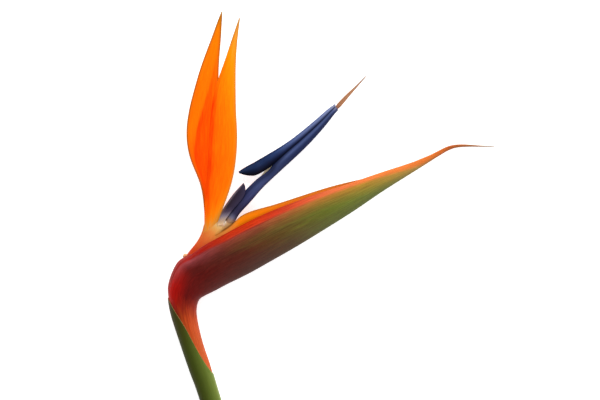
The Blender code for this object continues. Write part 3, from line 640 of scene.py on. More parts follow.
def nectar_finish():
    """Dried nectar: clear amber, smooth and wet looking, paler at its upper end and darker towards
    its lower end.
    """
    material, tree, height = new_finish("dried_nectar", "height")
    colour = add(tree, "ValToRGB", {"Fac": height}, stops=[(0.0, "#F0C090"), (1.0, "#C8703A")])
    spot = add(tree, "TexCoord", out="Object")
    relief = add(tree, "TexNoise", {"Vector": spot, "Scale": BUMPS_PER_METRE})
    return tissue(material, colour, relief, 0.03, 0.16, (0.4, 1.2), IOR=1.46)


grown("nectar_drop", nectar_drop(), nectar_finish(), "spathe")

# The buds.
# Two flowers that have not opened yet lie in the spathe, slender and ridged where their folded
# sepals meet, pale where no light has reached them.

BUD_LOWER = [(0.5, -4.7, 1.2), (6.0, -1.7, 1.5), (14.0, 3.0, 2.2), (25.0, 9.6, 2.9), (37.5, 16.9, 2.9),
             (50.0, 23.5, 2.3), (61.0, 30.0, 0.5)]
BUD_UPPER = [(17.0, 14.8, 0.8), (23.0, 17.8, 1.8), (32.0, 22.8, 2.4), (42.0, 27.8, 1.9), (51.0, 32.3, 0.5)]
BUD_ROWS = 90
BUD_COLUMNS = 48


def rod(path, half, columns, lobes, groove):
    """A rod along a path in the middle plane, its section a circle grooved between its lobes."""
    along = np.gradient(path, axis=0)
    side = np.stack([-along[:, 1], along[:, 0]], -1)
    side /= np.linalg.norm(side, axis=-1, keepdims=True)
    turn = round_angles(columns)
    size = half[:, None] * (1.0 - groove * (1.0 - np.cos(lobes * turn)) / 2.0)
    flat = path[:, None, :] + side[:, None, :] * (size * np.cos(turn))[..., None]
    return closed_ends(np.concatenate([flat, (size * np.sin(turn))[..., None]], axis=-1))


def closed_ends(rings):
    """The rings with a point before the first and after the last, so that both ends close."""
    return np.concatenate([pole(rings, 0), rings, pole(rings, -1)])


def along_rings(share, columns):
    """The share of a piece's length at every point of its rings, and 0 and 1 at its two ends."""
    return np.concatenate([[0.0], share, [1.0]])[:, None] * np.ones((1, columns))


def bud(stations):
    """A spindle along the stations, with three lobes."""
    places = np.linspace(0.0, len(stations) - 1.0, BUD_ROWS)
    rows = through(stations, places)
    points = rod(rows[:, 0:2], np.maximum(rows[:, 2], 0.3), BUD_COLUMNS, lobes=3, groove=0.1)
    share = along_rings(places / places[-1], BUD_COLUMNS)
    return points, {"grain": grain_of(share, round_angles(BUD_COLUMNS), 3.0, reach=2.0), "along": share}


def bud_finish():
    """Young sepal tissue: cream at the foot and dull orange at the tip, softly streaked."""
    material, tree, grain, along = new_finish("folded_bud", "grain", "along")
    streaks = add(tree, "TexNoise", {"Vector": grain, "Scale": 2.5, "Detail": 3.0})
    body = add(tree, "ValToRGB", {"Fac": along}, stops=[(0.0, "#D8CFA0"), (0.5, "#E3B569"), (1.0, "#E8913A")])
    colour = threaded(tree, body, streaks, 0.6, (0.3, "#B4B4B4"), (0.7, "#FFFFFF"))
    return tissue(material, colour, streaks, 0.08, 0.45, (0.15, 1.5))


BUD_SKIN = bud_finish()
grown("bud_lower", bud(BUD_LOWER), BUD_SKIN, "bud_lower")
grown("bud_upper", bud(BUD_UPPER), BUD_SKIN, "bud_upper")

# The flower's base.
# The fleshy foot that the sepals and petals grow from. It widens out of the slit to a low dome,
# reddish at the lip, orange under the sepals and cream round the foot of the blue petals.

FLOWER_BASE = [
    (-9.9, 1.0, -2.8, -2.8, 2.6),
    (-8.8, 7.0, 2.0, 1.5, 3.0),
    (-6.8, 12.3, 8.0, 7.0, 3.3),
    (-3.9, 16.2, 14.0, 13.5, 3.5),
    (-1.2, 19.8, 18.0, 19.6, 3.5),
    (0.75, 23.6, 18.8, 26.0, 3.1),
    (1.8, 27.2, 16.6, 29.4, 2.3),
]
BASE_AXIS = np.array((-0.15, 0.99, 0.0))
DOME_HEIGHT = 1.6
ARROW_FOOT = (11.5, 29.5)
BASE_ROWS = 150
BASE_COLUMNS = 112
DOME_RINGS = 24
# How far the ramps from the arrow's foot and from the sepal's clasp reach, in millimetres.
FLESH_SPAN = 22.0
CLASP_SPAN = 4.0

# The folded sepal's upper edge (u, v), where it clasps the base.
CLASP = [(6.9, 22.2), (11.3, 24.5), (13.8, 26.0), (16.3, 27.9), (18.1, 29.7), (19.4, 31.3)]


def from_clasp(points):
    """How far a point lies above or below the folded sepal's upper edge, in millimetres of v.
    Left of the edge's second point, by half, and right of its last one the way along u is added.
    """
    u, v = points[..., 0], points[..., 1]
    edge_u, edge_v = np.array(CLASP).T
    beyond = np.maximum(edge_u[1] + 0.5 - u, 0.0) / 2.0 + np.maximum(u - edge_u[-1], 0.0)
    return np.abs(v - np.interp(u, edge_u, edge_v)) + beyond


def flower_base():
    """Oval sections from the foot up, closed by a dome that sinks in as an ellipse does."""
    last = len(FLOWER_BASE) - 1.0
    places = np.linspace(0.0, last, BASE_ROWS)[:, None]
    angles = round_angles(BASE_COLUMNS)
    side = oval(FLOWER_BASE, places, angles, 0.0)
    turn = np.linspace(0.0, math.pi / 2.0, DOME_RINGS)[1:, None, None]
    heart = side[-1:].mean(axis=1, keepdims=True)
    top = heart + (side[-1:] - heart) * np.cos(turn) + BASE_AXIS * DOME_HEIGHT * np.sin(turn)
    points = np.concatenate([pole(side, 0), side, top])
    whole = np.concatenate([[0.0], places[:, 0], np.full(len(top), last)])[:, None]
    return points, {
        "grain": grain_of(whole, angles, 8.0, reach=0.6),
        "foot": np.hypot(points[..., 0] - ARROW_FOOT[0], points[..., 1] - ARROW_FOOT[1]),
        "rim": from_clasp(points),
    }


def base_finish():
    """Fleshy tissue, damp and a little glassy: cream at the arrow's foot, then orange, then red, and
    a dark line where the folded sepal clasps it, partly that edge's brown and partly painted shade.
    """
    material, tree, grain, foot, rim = new_finish("fleshy_base", "grain", "foot", "rim")
    streaks = add(tree, "TexNoise", {"Vector": grain, "Scale": 1.8, "Detail": 3.0})
    spread = add(tree, "Math", {0: streaks, 1: 3.0}, operation="MULTIPLY")
    away = add(tree, "Math", {0: foot, 1: spread}, operation="ADD")
    away = add(tree, "Math", {0: away, 1: FLESH_SPAN}, operation="DIVIDE")
    flesh = add(tree, "ValToRGB", {"Fac": away}, stops=[
        (0.1, "#ECE2DA"), (0.14, "#C8AE96"), (0.19, "#B68C60"), (0.24, "#D0A466"), (0.32, "#D4984E"),
        (0.44, "#D8823A"), (0.58, "#D66E30"), (0.75, "#D05C2A"), (1.0, "#C4401C")])
    # Where the folded sepal clasps the base: a dark brown line, partly the edge's own colour and partly
    # painted shade under it, with a soft painted shade fading from it.
    near = add(tree, "Math", {0: rim, 1: CLASP_SPAN}, operation="DIVIDE")
    line = add(tree, "ValToRGB", {"Fac": near}, stops=[
        (0.0, 1.0), (0.12, 0.8), (0.3, 0.36), (0.75, 0.0)])
    colour = add(tree, "MixRGB", {"Fac": line, "Color1": flesh, "Color2": "#74400F"})
    return tissue(material, colour, streaks, 0.04, 0.38, (0.15, 1.2), 0.12)


grown("flower_base", flower_base(), base_finish(), "flower_base")

# The upright sepals.
# Two stiff papery blades with pointed tips, bright orange, each creased lengthways like a boat:
# the near one shows the outside of its keel, and the far one its inside. Both grow from the base.

# Each station gives the left edge (u, v), the right edge (u, v) and the height out of the plane.
SEPAL_LEFT = [
    (0.2, 20.0, 5.5, 21.0, -1.0),
    (2.0, 27.5, 6.2, 28.4, -2.0),
    (1.9, 35.8, 5.8, 36.5, -2.6),
    (0.0, 47.8, 6.0, 48.5, -3.6),
    (-4.7, 59.8, 7.2, 60.2, -4.6),
    (-6.9, 71.8, 8.2, 72.0, -5.4),
    (-5.9, 83.8, 8.9, 83.8, -6.0),
    (-3.0, 95.8, 9.1, 95.8, -6.5),
    (0.6, 107.8, 9.3, 107.8, -7.0),
    (5.0, 119.8, 10.2, 119.8, -7.4),
    (7.9, 127.8, 10.7, 127.8, -7.6),
    (10.5, 134.6, 11.1, 134.6, -7.7),
]
SEPAL_RIGHT = [
    (0.6, 20.0, 8.5, 19.5, -0.6),
    (2.1, 27.0, 8.9, 27.6, 1.6),
    (2.3, 35.8, 11.5, 35.8, 2.8),
    (3.2, 47.8, 15.7, 47.8, 3.8),
    (4.1, 59.8, 18.0, 59.8, 4.8),
    (4.8, 71.8, 18.7, 71.8, 5.6),
    (5.7, 83.8, 18.2, 83.8, 6.2),
    (7.9, 95.8, 18.0, 95.8, 6.8),
    (11.9, 107.8, 18.1, 107.8, 7.4),
    (15.9, 119.8, 18.9, 119.8, 7.9),
    (19.6, 130.6, 20.2, 130.6, 8.2),
]
# Where each crease runs, as a share of the width from the left edge, from the foot to the tip.
CREASE_LEFT = (0.5, 0.4, 0.25, 0.16, 0.2, 0.31, 0.45, 0.6, 0.76, 0.8, 0.65, 0.5)
CREASE_RIGHT = (0.4, 0.3, 0.22, 0.16, 0.13, 0.12, 0.12, 0.14, 0.2, 0.34, 0.5)
# How deep the colour is at places left and right of the crease, as shares of the width: partly
# the sepal's own deeper orange and partly painted shade of the fold.
SHADE_LEFT = ((-0.12, -0.03, 0.01, 0.1, 0.3, 0.6), (0.0, 0.25, 1.0, 0.85, 0.55, 0.45))
SHADE_RIGHT = ((-0.12, -0.03, 0.02, 0.1, 0.35, 0.52, 0.8), (1.0, 0.95, 0.75, 0.42, 0.3, 0.22, 0.0))
SEPAL_DISH = 1.9
SEPAL_ROWS = 280
SEPAL_ACROSS = 61
# Where a left margin is neither dry nor painted darker, its edge counts as this much farther off, in
# millimetres.
FRESH_MARGIN = 2.0
# The ramp of the dry margin, with its painted shade, spans this many millimetres.
DRY_SPAN = 2.0


def blade(middle, half, across, power):
    """A blade round its middle surface. On each face it goes out by half its thickness, times the
    square root of 1 - |2 across - 1| ^ power, so that its edges are round and closed.
    """
    out = np.cross(np.gradient(middle, axis=1), np.gradient(middle, axis=0))
    out /= np.linalg.norm(out, axis=-1, keepdims=True)
    rim = np.sqrt(np.clip(1.0 - (2.0 * across - 1.0) ** power, 0.0, 1.0))
    half = out * half[..., None] * rim[:, None]
    return closed_ends(np.concatenate([middle + half, (middle - half)[:, ::-1]], axis=1))


def blade_shares(along, across):
    """The shares along and across a blade at all its points. A ring of them goes across one face
    and back across the other.
    """
    share = along_rings(along, 2 * across.size)
    return share, np.concatenate([across, across[::-1]])[None, :] * np.ones((len(share), 1))


def blade_grain(share, both, wide, long):
    """Where a blade's fibres run: its shares stretched to about its width in millimetres, and to a
    much shorter length, which draws the fibres out.
    """
    return np.stack([wide * both, 0.0 * both, long * share], -1)


def kept_at_ends(values):
    """One value for each ring, and the first and the last again for the points at the ends."""
    return np.concatenate([values[:1], values, values[-1:]])


def sepal(stations, creases, shades, side, bare_to):
    """A creased blade: its height falls off on both sides of the crease by the distance to the
    power 1.25, with fine veins and a slow wave along its margins; it is thin at its edges. Its
    left margin is neither dry nor painted darker up to the share of its length that bare_to gives.
    """
    places = (len(stations) - 1.0) * np.linspace(0.0, 1.0, SEPAL_ROWS)
    across = np.linspace(0.0, 1.0, SEPAL_ACROSS)
    across = (1.0 - np.cos(math.pi * across)) / 2.0 * 0.5 + across * 0.5
    rows = through(stations, places)
    crease = through(np.array(creases)[:, None], places)
    width = np.linalg.norm(rows[:, 2:4] - rows[:, 0:2], axis=1)[:, None]
    slim = width / width.max()
    flat = rows[:, None, 0:2] * (1.0 - across[:, None]) + rows[:, None, 2:4] * across[:, None]
    away = np.abs(across - crease) / np.maximum(crease, 1.0 - crease)
    softened = np.sqrt(away ** 2 + 0.04) - 0.2
    keel = 1.0 - (softened / (math.sqrt(1.04) - 0.2)) ** 1.25
    ripple = 0.03 * np.cos(34.0 * across + 0.4 * places[:, None]) * slim
    wave = 0.22 * np.sin(1.9 * places[:, None] + 2.0) * (2.0 * across - 1.0) ** 3 * slim
    height = rows[:, 4:5] + side * (SEPAL_DISH * keel * slim + ripple) + wave
    middle = np.concatenate([flat, height[..., None]], axis=-1)
    half = 0.12 + 0.22 * (1.0 - (2.0 * across - 1.0) ** 2) * slim
    share, both = blade_shares(places / places[-1], across)
    wide = kept_at_ends(width)
    left = both * wide + FRESH_MARGIN * (1.0 - step(share, bare_to, bare_to + 0.1))
    right = (1.0 - both) * wide * (0.4 + 0.6 * step(share, 0.1, 0.24))
    return blade(middle, half, across, 8), {
        "grain": blade_grain(share, both, 14.0, 5.0),
        "along": share,
        "depth": np.interp(both - kept_at_ends(crease), *shades),
        "edge": np.minimum(left, right),
    }


def sepal_finish(name, body_stops, deep_and_shaded_colour, fade_stops, dry_and_shaded_colour):
    """Sepal tissue: thin, satin and lit through, with hair-fine veins, a deeper orange by the crease
    that is partly painted shade, and a dry tan margin darkened further as painted shade.
    """
    material, tree, grain, along, depth, edge = new_finish(name, "grain", "along", "depth", "edge")
    hairs = add(tree, "TexNoise", {"Vector": grain, "Scale": 2.4, "Detail": 4.0, "Roughness": 0.6})
    cloud = add(tree, "TexNoise", {"Vector": grain, "Scale": 0.4, "Detail": 2.0})
    spread = add(tree, "Math", {0: cloud, 1: -0.5}, operation="ADD")
    wander = add(tree, "Math", {0: spread, 1: 0.25}, operation="MULTIPLY")
    place = add(tree, "Math", {0: along, 1: wander}, operation="ADD")
    body = add(tree, "ValToRGB", {"Fac": place}, stops=body_stops)
    fade = add(tree, "ValToRGB", {"Fac": along}, stops=fade_stops)
    lines = add(tree, "ValToRGB", {"Fac": hairs}, stops=[(0.35, 1.25), (0.65, 0.7)])
    # The deep colour by the crease is partly the sepal's own deeper orange and partly painted shade of the
    # fold.
    deep = add(tree, "Math", {0: depth, 1: fade}, operation="MULTIPLY")
    deep = add(tree, "Math", {0: deep, 1: lines}, operation="MULTIPLY", use_clamp=True)
    creased = add(tree, "MixRGB", {"Fac": deep, "Color1": body, "Color2": deep_and_shaded_colour})
    veined = threaded(tree, creased, hairs, 0.5, (0.3, "#F0B890"), (0.65, "#FFFFFF"))
    # The dry margin, darkened further as painted shade, fades out over nine tenths of its span.
    near_edge = add(tree, "Math", {0: edge, 1: DRY_SPAN}, operation="DIVIDE")
    dry = add(tree, "ValToRGB", {"Fac": near_edge}, stops=[
        (0.0, 1.0), (0.13, 0.85), (0.36, 0.38), (0.64, 0.12), (0.9, 0.0)])
    margined = add(tree, "MixRGB", {"Fac": dry, "Color1": veined, "Color2": dry_and_shaded_colour})
    tip = add(tree, "ValToRGB", {"Fac": along}, stops=[(0.965, 0.0), (0.995, 0.85)])
    colour = add(tree, "MixRGB", {"Fac": tip, "Color1": margined, "Color2": "#BC9460"})
    return tissue(material, colour, hairs, 0.04, 0.5, (0.05, 0.6), 0.05)


LEFT_FINISH = sepal_finish(
    "sepal_inside",
    [(0.0, "#DC8430"), (0.07, "#E47A0C"), (0.2, "#FA6A06"), (0.35, "#FF6C02"), (0.5, "#FF7E02"),
     (0.65, "#FF7602"), (0.8, "#F67C02"), (0.9, "#EA7E02"), (0.97, "#D68010")],
    "#F84400",
    [(0.0, 0.0), (0.07, 0.05), (0.12, 0.6), (0.25, 0.65), (0.4, 0.9), (0.52, 1.0), (0.62, 0.6),
     (0.74, 0.25), (0.9, 0.0)],
    "#8E5A14")
RIGHT_FINISH = sepal_finish(
    "sepal_outside",
    [(0.0, "#D8984C"), (0.1, "#E89C44"), (0.14, "#EE9420"), (0.18, "#F48C08"), (0.28, "#FF7A02"),
     (0.4, "#FF7602"), (0.53, "#FF7E02"), (0.66, "#FE8A02"), (0.82, "#FA9604"), (0.93, "#F0A030"),
     (1.0, "#D8AC6C")],
    "#F84000",
    [(0.0, 0.0), (0.1, 0.08), (0.16, 0.5), (0.24, 0.9), (0.62, 1.0), (0.72, 0.6), (0.84, 0.1)],
    "#B87828")
LEFT_BLADE = sepal(SEPAL_LEFT, CREASE_LEFT, SHADE_LEFT, -1.0, -0.1)
RIGHT_BLADE = sepal(SEPAL_RIGHT, CREASE_RIGHT, SHADE_RIGHT, 1.0, 0.8)
grown("sepal_left", LEFT_BLADE, LEFT_FINISH, "sepal_left")
grown("sepal_right", RIGHT_BLADE, RIGHT_FINISH, "sepal_right")

# The front sepal.
# The third sepal clasps the base and lies along the slit, folded lengthways, so that only its
# upper margins show above the lips. It is the same orange tissue.

# Each station gives the two upper edges (u, v), the fold (u, v) and the half depth at the edges.
SEPAL_FRONT = [
    (4.6, 20.9, 6.0, 16.5, 2.5),
    (8.8, 23.1, 10.4, 17.2, 3.35),
    (12.2, 24.9, 13.9, 18.9, 3.55),
    (16.3, 27.9, 17.8, 21.4, 3.5),
    (20.1, 31.7, 21.6, 24.2, 2.9),
    (26.2, 34.6, 27.8, 27.6, 2.4),
    (34.3, 36.9, 36.6, 30.4, 2.0),
    (44.0, 39.9, 46.1, 34.3, 1.4),
    (54.3, 43.3, 56.0, 38.6, 1.1),
    (65.0, 46.6, 66.2, 43.2, 0.85),
    (74.0, 48.9, 74.7, 46.8, 0.65),
    (81.0, 50.5, 81.3, 49.3, 0.5),
]
FRONT_ROWS = 260


def trough(rim, back, half_depth, thin, more, across):
    """A blade folded to a U, from one rim round its back to the other: along the line from rim to
    back a point lies at the cosine of the turn, and out of the plane at its sine. It is thin at
    the rims, and thicker inwards by more times 1 - |2 across - 1| ^ 6.
    """
    turn = (across - 0.5) * math.pi
    rim3, back3 = (np.pad(edge, ((0, 0), (0, 1)))[:, None, :] for edge in (rim, back))
    away = (back3 - rim3) / np.linalg.norm(back3 - rim3, axis=-1, keepdims=True)
    outwards = np.array((0.0, 0.0, 1.0))
    thickness = thin + more * (1.0 - (2.0 * across - 1.0) ** 6)
    faces = []
    for side in (0.5, -0.5):
        extra = side * thickness[:, None]
        flat = rim3 + (back3 - rim3 + away * extra) * np.cos(turn)[None, :, None]
        faces.append(flat + (half_depth[:, None, None] + extra) * outwards * np.sin(turn)[None, :, None])
    return closed_ends(np.concatenate([faces[0], faces[1][:, ::-1]], axis=1))


def front_sepal():
    """The folded sepal, its margins thinned and a little wavy."""
    last = len(SEPAL_FRONT) - 1.0
    places = np.linspace(0.0, last, FRONT_ROWS)
    across = np.linspace(0.0, 1.0, SEPAL_ACROSS)
    rows = through(SEPAL_FRONT, places)
    half_depth = rows[:, 4] + 0.05 * np.sin(3.1 * places)
    share, both = blade_shares(places / last, across)
    fold = kept_at_ends(np.linalg.norm(rows[:, 2:4] - rows[:, 0:2], axis=1))[:, None]
    return trough(rows[:, 0:2], rows[:, 2:4], half_depth, 0.15, 0.45, across), {
        "grain": blade_grain(share, both, 14.0, 5.0),
        "along": share,
        "depth": 0.0 * share,
        "edge": fold * np.sin(math.pi * np.minimum(both, 1.0 - both)),
    }


FRONT_FINISH = sepal_finish(
    "sepal_folded",
    [(0.0, "#E08844"), (0.15, "#E89448"), (0.33, "#EC8408"), (0.5, "#F08008"), (0.8, "#F08028"),
     (1.0, "#E0803C")],
    "#F04602", [(0.0, 0.0), (1.0, 0.0)], "#A86420")
grown("sepal_front", front_sepal(), FRONT_FINISH, "sepal_front")

# The blue petals.
# Two long petals joined edge to edge into an arrow: together a tube round the style and stamens,
# each with a wing along its top whose free end is a barb. Firm, satin and deep blue.

# The tube: upper edge (u, v), lower edge (u, v) and half depth.
ARROW_TUBE = [
    (11.2, 27.9, 17.6, 28.9, 2.0),
    (15.4, 36.1, 20.1, 33.2, 2.2),
    (20.5, 42.8, 25.0, 38.5, 2.4),
    (26.2, 48.7, 31.0, 45.4, 2.5),
    (34.3, 56.1, 38.3, 52.5, 2.5),
    (42.5, 63.8, 46.3, 59.8, 2.4),
    (50.8, 71.0, 54.3, 67.5, 2.2),
    (59.5, 78.9, 62.3, 76.4, 1.9),
    (64.4, 83.8, 66.4, 81.6, 1.65),
    (67.6, 87.0, 69.2, 84.9, 1.45),
]
# The wing's outer edge (u, v, w) from the barb to the arrow's tip, and the barb's lower edge.
WING_EDGE = [
    (19.2, 54.1, 5.4),
    (22.3, 56.2, 5.9),
    (26.3, 58.4, 6.1),
    (28.6, 59.7, 6.1),
    (31.0, 61.1, 5.9),
    (40.2, 66.6, 5.2),
    (48.7, 72.6, 4.4),
    (58.0, 80.3, 3.3),
    (63.6, 85.2, 2.5),
    (67.7, 88.2, 1.9),
]
BARB_ROOT = [(19.8, 53.4, 5.1), (22.3, 52.5, 4.5), (25.5, 52.1, 3.8), (29.4, 53.0, 2.9)]
# Where the wing's root joins the tube, and the tube's end, in the tube's stations.
WING_JOINS_AT = np.array((4.25, 5.0, 6.0, 7.0, 8.0, 8.9))
TUBE_TIP = 9.0
PETAL_ROWS = 240
TUBE_ACROSS = 41
BLADE_ACROSS = 33
# Angles on the tube, from its upper edge, of its seams and of the wing's root.
SEAM_ANGLE = 0.12
WING_ANGLE = 0.45
# The stretch where the upper rim sinks away, in stations.
RIM_SINKS = (3.2, 3.8)
RIM_RISES = (3.9, 4.5)
PETAL_WALL = 0.7


def half_tube():
    """The tube's near half: its outer wall, round the seams, and its inner wall.

    Along a short stretch its upper rim sinks away and shows what lies in the tube.
    """
    places = np.linspace(0.0, TUBE_TIP, PETAL_ROWS)[:, None]
    across = np.linspace(0.0, 1.0, TUBE_ACROSS)
    rim_at = SEAM_ANGLE + 0.6 * step(places, *RIM_SINKS) * (1.0 - step(places, *RIM_RISES))
    angles = rim_at + (math.pi - SEAM_ANGLE - rim_at) * across
    rim = 0.3 * (2.0 * across - 1.0) ** 12
    lines = 0.02 * np.cos(46.0 * across)
    outer = oval(ARROW_TUBE, places, angles, rim - lines)
    inner = oval(ARROW_TUBE, places, angles, PETAL_WALL - rim)
    points = closed_ends(np.concatenate([outer, inner[:, ::-1]], axis=1))
    run, both = blade_shares(places[:, 0] / TUBE_TIP, across)
    # The pale foot reaches farther up the tube's upper side than along its lower side.
    return points, both, run + 0.05 * (both - 0.75) * (1.0 - step(run, 0.06, 0.2))


def wing():
    """The near wing: a blade from the tube's top to its free edge, bowed, with a rolled rim."""
    places = np.linspace(0.0, TUBE_TIP, PETAL_ROWS)
    across = np.linspace(0.0, 1.0, BLADE_ACROSS)
    root = oval(ARROW_TUBE, WING_JOINS_AT, WING_ANGLE, PETAL_WALL / 2.0)
    outer = through(WING_EDGE, places)
    inner = through(BARB_ROOT + root.tolist(), places)
    width = np.linalg.norm(outer - inner, axis=1)[:, None]
    flat = inner[:, None, :] * (1.0 - across[:, None]) + outer[:, None, :] * across[:, None]
    bow = 0.10 * width * (1.0 - (2.0 * across - 1.0) ** 2) - 0.06 * width * across ** 6
    veined = 0.025 * np.cos(26.0 * across) * np.ones(width.shape)
    middle = flat + np.array((0.0, 0.0, 1.0)) * (bow + veined)[..., None]
    along, both = blade_shares(places / TUBE_TIP, across)
    return blade(middle, 0.16 + 0.16 * (1.0 - across), across, 10), both, along


def petal_finish(name, body_stops, lower_light_and_shade, upper_light_and_shade, clear_to):
    """Petal tissue: deep blue satin, violet near its foot. Two ramps of painted light and shade darken
    it across, leaving a lighter band as a painted highlight, one for its lower half and one for its
    upper half, but not at its foot, up to the share that clear_to gives.
    """
    material, tree, grain, along, across = new_finish(name, "grain", "along", "across")
    hairs = add(tree, "TexNoise", {"Vector": grain, "Scale": 2.5, "Detail": 4.0, "Roughness": 0.6})
    wander = add(tree, "Math", {0: hairs, 1: 0.04}, operation="MULTIPLY")
    place = add(tree, "Math", {0: along, 1: wander}, operation="ADD")
    body = add(tree, "ValToRGB", {"Fac": place}, stops=body_stops)
    lined = threaded(tree, body, hairs, 0.5, (0.3, "#98A0B8"), (0.65, "#FFFFFF"))
    clear = add(tree, "ValToRGB", {"Fac": along}, stops=[(0.2 * clear_to, 1.0), (clear_to, 0.0)])
    # Painted light and shade across the petal: darker at its seams and by the groove, with a lighter band as
    # a painted highlight.
    low = add(tree, "ValToRGB", {"Fac": across}, stops=lower_light_and_shade)
    low = add(tree, "MixRGB", {"Fac": clear, "Color1": low, "Color2": "#FFFFFF"})
    high = add(tree, "ValToRGB", {"Fac": across}, stops=upper_light_and_shade)
    half_way = add(tree, "ValToRGB", {"Fac": along}, stops=[(0.46, 0.0), (0.58, 1.0)])
    dark = add(tree, "MixRGB", {"Fac": half_way, "Color1": low, "Color2": high})
    colour = add(tree, "MixRGB", {"Fac": 1.0, "Color1": lined, "Color2": dark}, blend_type="MULTIPLY")
    sheen = {"Sheen Weight": 0.03, "Sheen Tint": "#B8C0E8"}
    return tissue(material, colour, hairs, 0.05, 0.42, gloss=0.2, **sheen)


# The tube's ramps across it are painted light and shade: darkest at its upper seam under the wing, lightest a
# little below it, darker towards its lower seam.
TUBE_BLUE = petal_finish(
    "blue_petal_tube",
    [(0.01, "#A87C58"), (0.03, "#A0806A"), (0.06, "#706E86"), (0.1, "#423C5A"), (0.17, "#4C4668"),
     (0.26, "#545684"), (0.36, "#5E6A9A"), (0.47, "#4A5680"), (0.65, "#465480"), (0.9, "#48567E"),
     (0.96, "#5C6690"), (1.0, "#8484A0")],
    [(0.0, "#64687C"), (0.2, "#80849A"), (0.34, "#74788C"), (0.44, "#9CA0B2"), (0.62, "#B4B8C6"),
     (0.74, "#A6AABA"), (0.84, "#7C8092")],
    [(0.0, "#10121E"), (0.12, "#505468"), (0.2, "#9094A4"), (0.27, "#D0D4E0"), (0.36, "#FFFFFF"),
     (0.43, "#F4F8FF"), (0.5, "#BAC2D2"), (0.6, "#868EA6"), (0.72, "#7A82A0"), (0.85, "#6E7288")],
    0.12)
# Painted light and shade across the wing: dark at its root by the groove, a painted highlight band on its
# upper face, a little darker at its rolled edge.
WING_LIGHT_AND_SHADE = [
    (0.0, "#20202C"), (0.2, "#505468"), (0.4, "#A8ACBC"), (0.62, "#FFFFFF"), (0.8, "#FFFFFF"),
    (0.97, "#A8ACBC")]
# Along the wing the blue grows lighter towards the tip, partly as a painted highlight on its upper face.
WING_BLUE = petal_finish(
    "blue_petal_wing",
    [(0.0, "#1E2A48"), (0.28, "#182A50"), (0.46, "#1B2D54"), (0.54, "#2A3E6C"), (0.63, "#4E6092"),
     (0.78, "#6E7CA8"), (0.92, "#8894BC"), (1.0, "#9498B4")],
    WING_LIGHT_AND_SHADE, WING_LIGHT_AND_SHADE, 0.001)


def blue_petal(name, side):
    """One petal: the half tube, and the wing that grows out of its upper wall."""
    for part, form, finish in (("", half_tube(), TUBE_BLUE), ("_wing", wing(), WING_BLUE)):
        points, across, along = form
        facts = {"grain": blade_grain(along, across, 9.0, 4.0), "along": along, "across": across}
        grown(name + part, (points * np.array((1.0, 1.0, side)), facts), finish, name)


blue_petal("petal_near", 1.0)
blue_petal("petal_far", -1.0)

# The nectary petal.
# The third petal is short and forms a hood round the upper side of the arrow's foot, where the
# nectar collects: nearly black violet, with thin paler margins and a pointed tip.

# Each station gives the back (u, v), the two rims (u, v) and the half depth.
NECTARY_PETAL = [
    (7.3, 27.1, 11.0, 27.5, 2.7),
    (10.5, 33.6, 15.7, 34.2, 3.05),
    (15.0, 40.5, 19.8, 38.9, 3.2),
    (18.8, 45.2, 22.4, 43.0, 3.1),
    (21.9, 48.4, 22.6, 46.9, 2.7),
]
NECTARY_ROWS = 140
NECTARY_ACROSS = 49


def nectary_petal():
    """The hood: a trough round its back, thin at its margins."""
    last = len(NECTARY_PETAL) - 1.0
    places = np.linspace(0.0, last, NECTARY_ROWS)
    across = np.linspace(0.0, 1.0, NECTARY_ACROSS)
    rows = through(NECTARY_PETAL, places)
    points = trough(rows[:, 2:4], rows[:, 0:2], rows[:, 4], 0.14, 0.4, across)
    share, both = blade_shares(places / last, across)
    return points, {"grain": blade_grain(share, both, 10.0, 2.0), "along": share, "across": both}


def nectary_finish():
    """Petal tissue, dark violet, bluer towards its rims, with a painted grey highlight along its
    back, and cream at its foot.
    """
    material, tree, grain, along, across = new_finish("nectary_petal", "grain", "along", "across")
    hairs = add(tree, "TexNoise", {"Vector": grain, "Scale": 2.5, "Detail": 4.0, "Roughness": 0.6})
    wander = add(tree, "Math", {0: hairs, 1: 0.12}, operation="MULTIPLY")
    place = add(tree, "Math", {0: along, 1: wander}, operation="ADD")
    body = add(tree, "ValToRGB", {"Fac": place}, stops=[
        (0.07, "#DDB890"), (0.12, "#BC9C7C"), (0.18, "#A08C84"), (0.24, "#7C7280"), (0.32, "#4A3C4C"),
        (0.42, "#281C24"), (0.75, "#241C28"), (1.0, "#2E2838")])
    middle = add(tree, "Math", {0: across, 1: -0.5}, operation="ADD")
    middle = add(tree, "Math", {0: middle}, operation="ABSOLUTE")
    flank = add(tree, "ValToRGB", {"Fac": middle}, stops=[(0.2, 0.0), (0.5, 0.75)])
    past_foot = add(tree, "ValToRGB", {"Fac": place}, stops=[(0.2, 0.0), (0.38, 1.0)])
    flank = add(tree, "Math", {0: flank, 1: past_foot}, operation="MULTIPLY")
    bluer = add(tree, "MixRGB", {"Fac": flank, "Color1": body, "Color2": "#342E48"})
    # A painted grey highlight along the hood's back, where it turns to the light; at its foot the same ramp
    # gives cream.
    ridge = add(tree, "ValToRGB", {"Fac": middle}, stops=[(0.0, 0.9), (0.12, 0.5), (0.24, 0.0)])
    painted_lighting = add(tree, "ValToRGB", {"Fac": along}, stops=[
        (0.03, "#D8B080"), (0.14, "#B08050"), (0.3, "#8C6C54"), (0.5, "#7C7688")])
    colour = add(tree, "MixRGB", {"Fac": ridge, "Color1": bluer, "Color2": painted_lighting})
    sheen = {"Sheen Weight": 0.03, "Sheen Tint": "#C8C4E0"}
    return tissue(material, colour, hairs, 0.05, 0.42, gloss=0.15, **sheen)


grown("nectary_petal", nectary_petal(), nectary_finish(), "nectary_petal")

# The stamens.
# Five stamens lie together in the arrow's tube. Their pale filaments end in long anthers, whose
# dry edge stands up through the slit between the petals, behind the barbs.

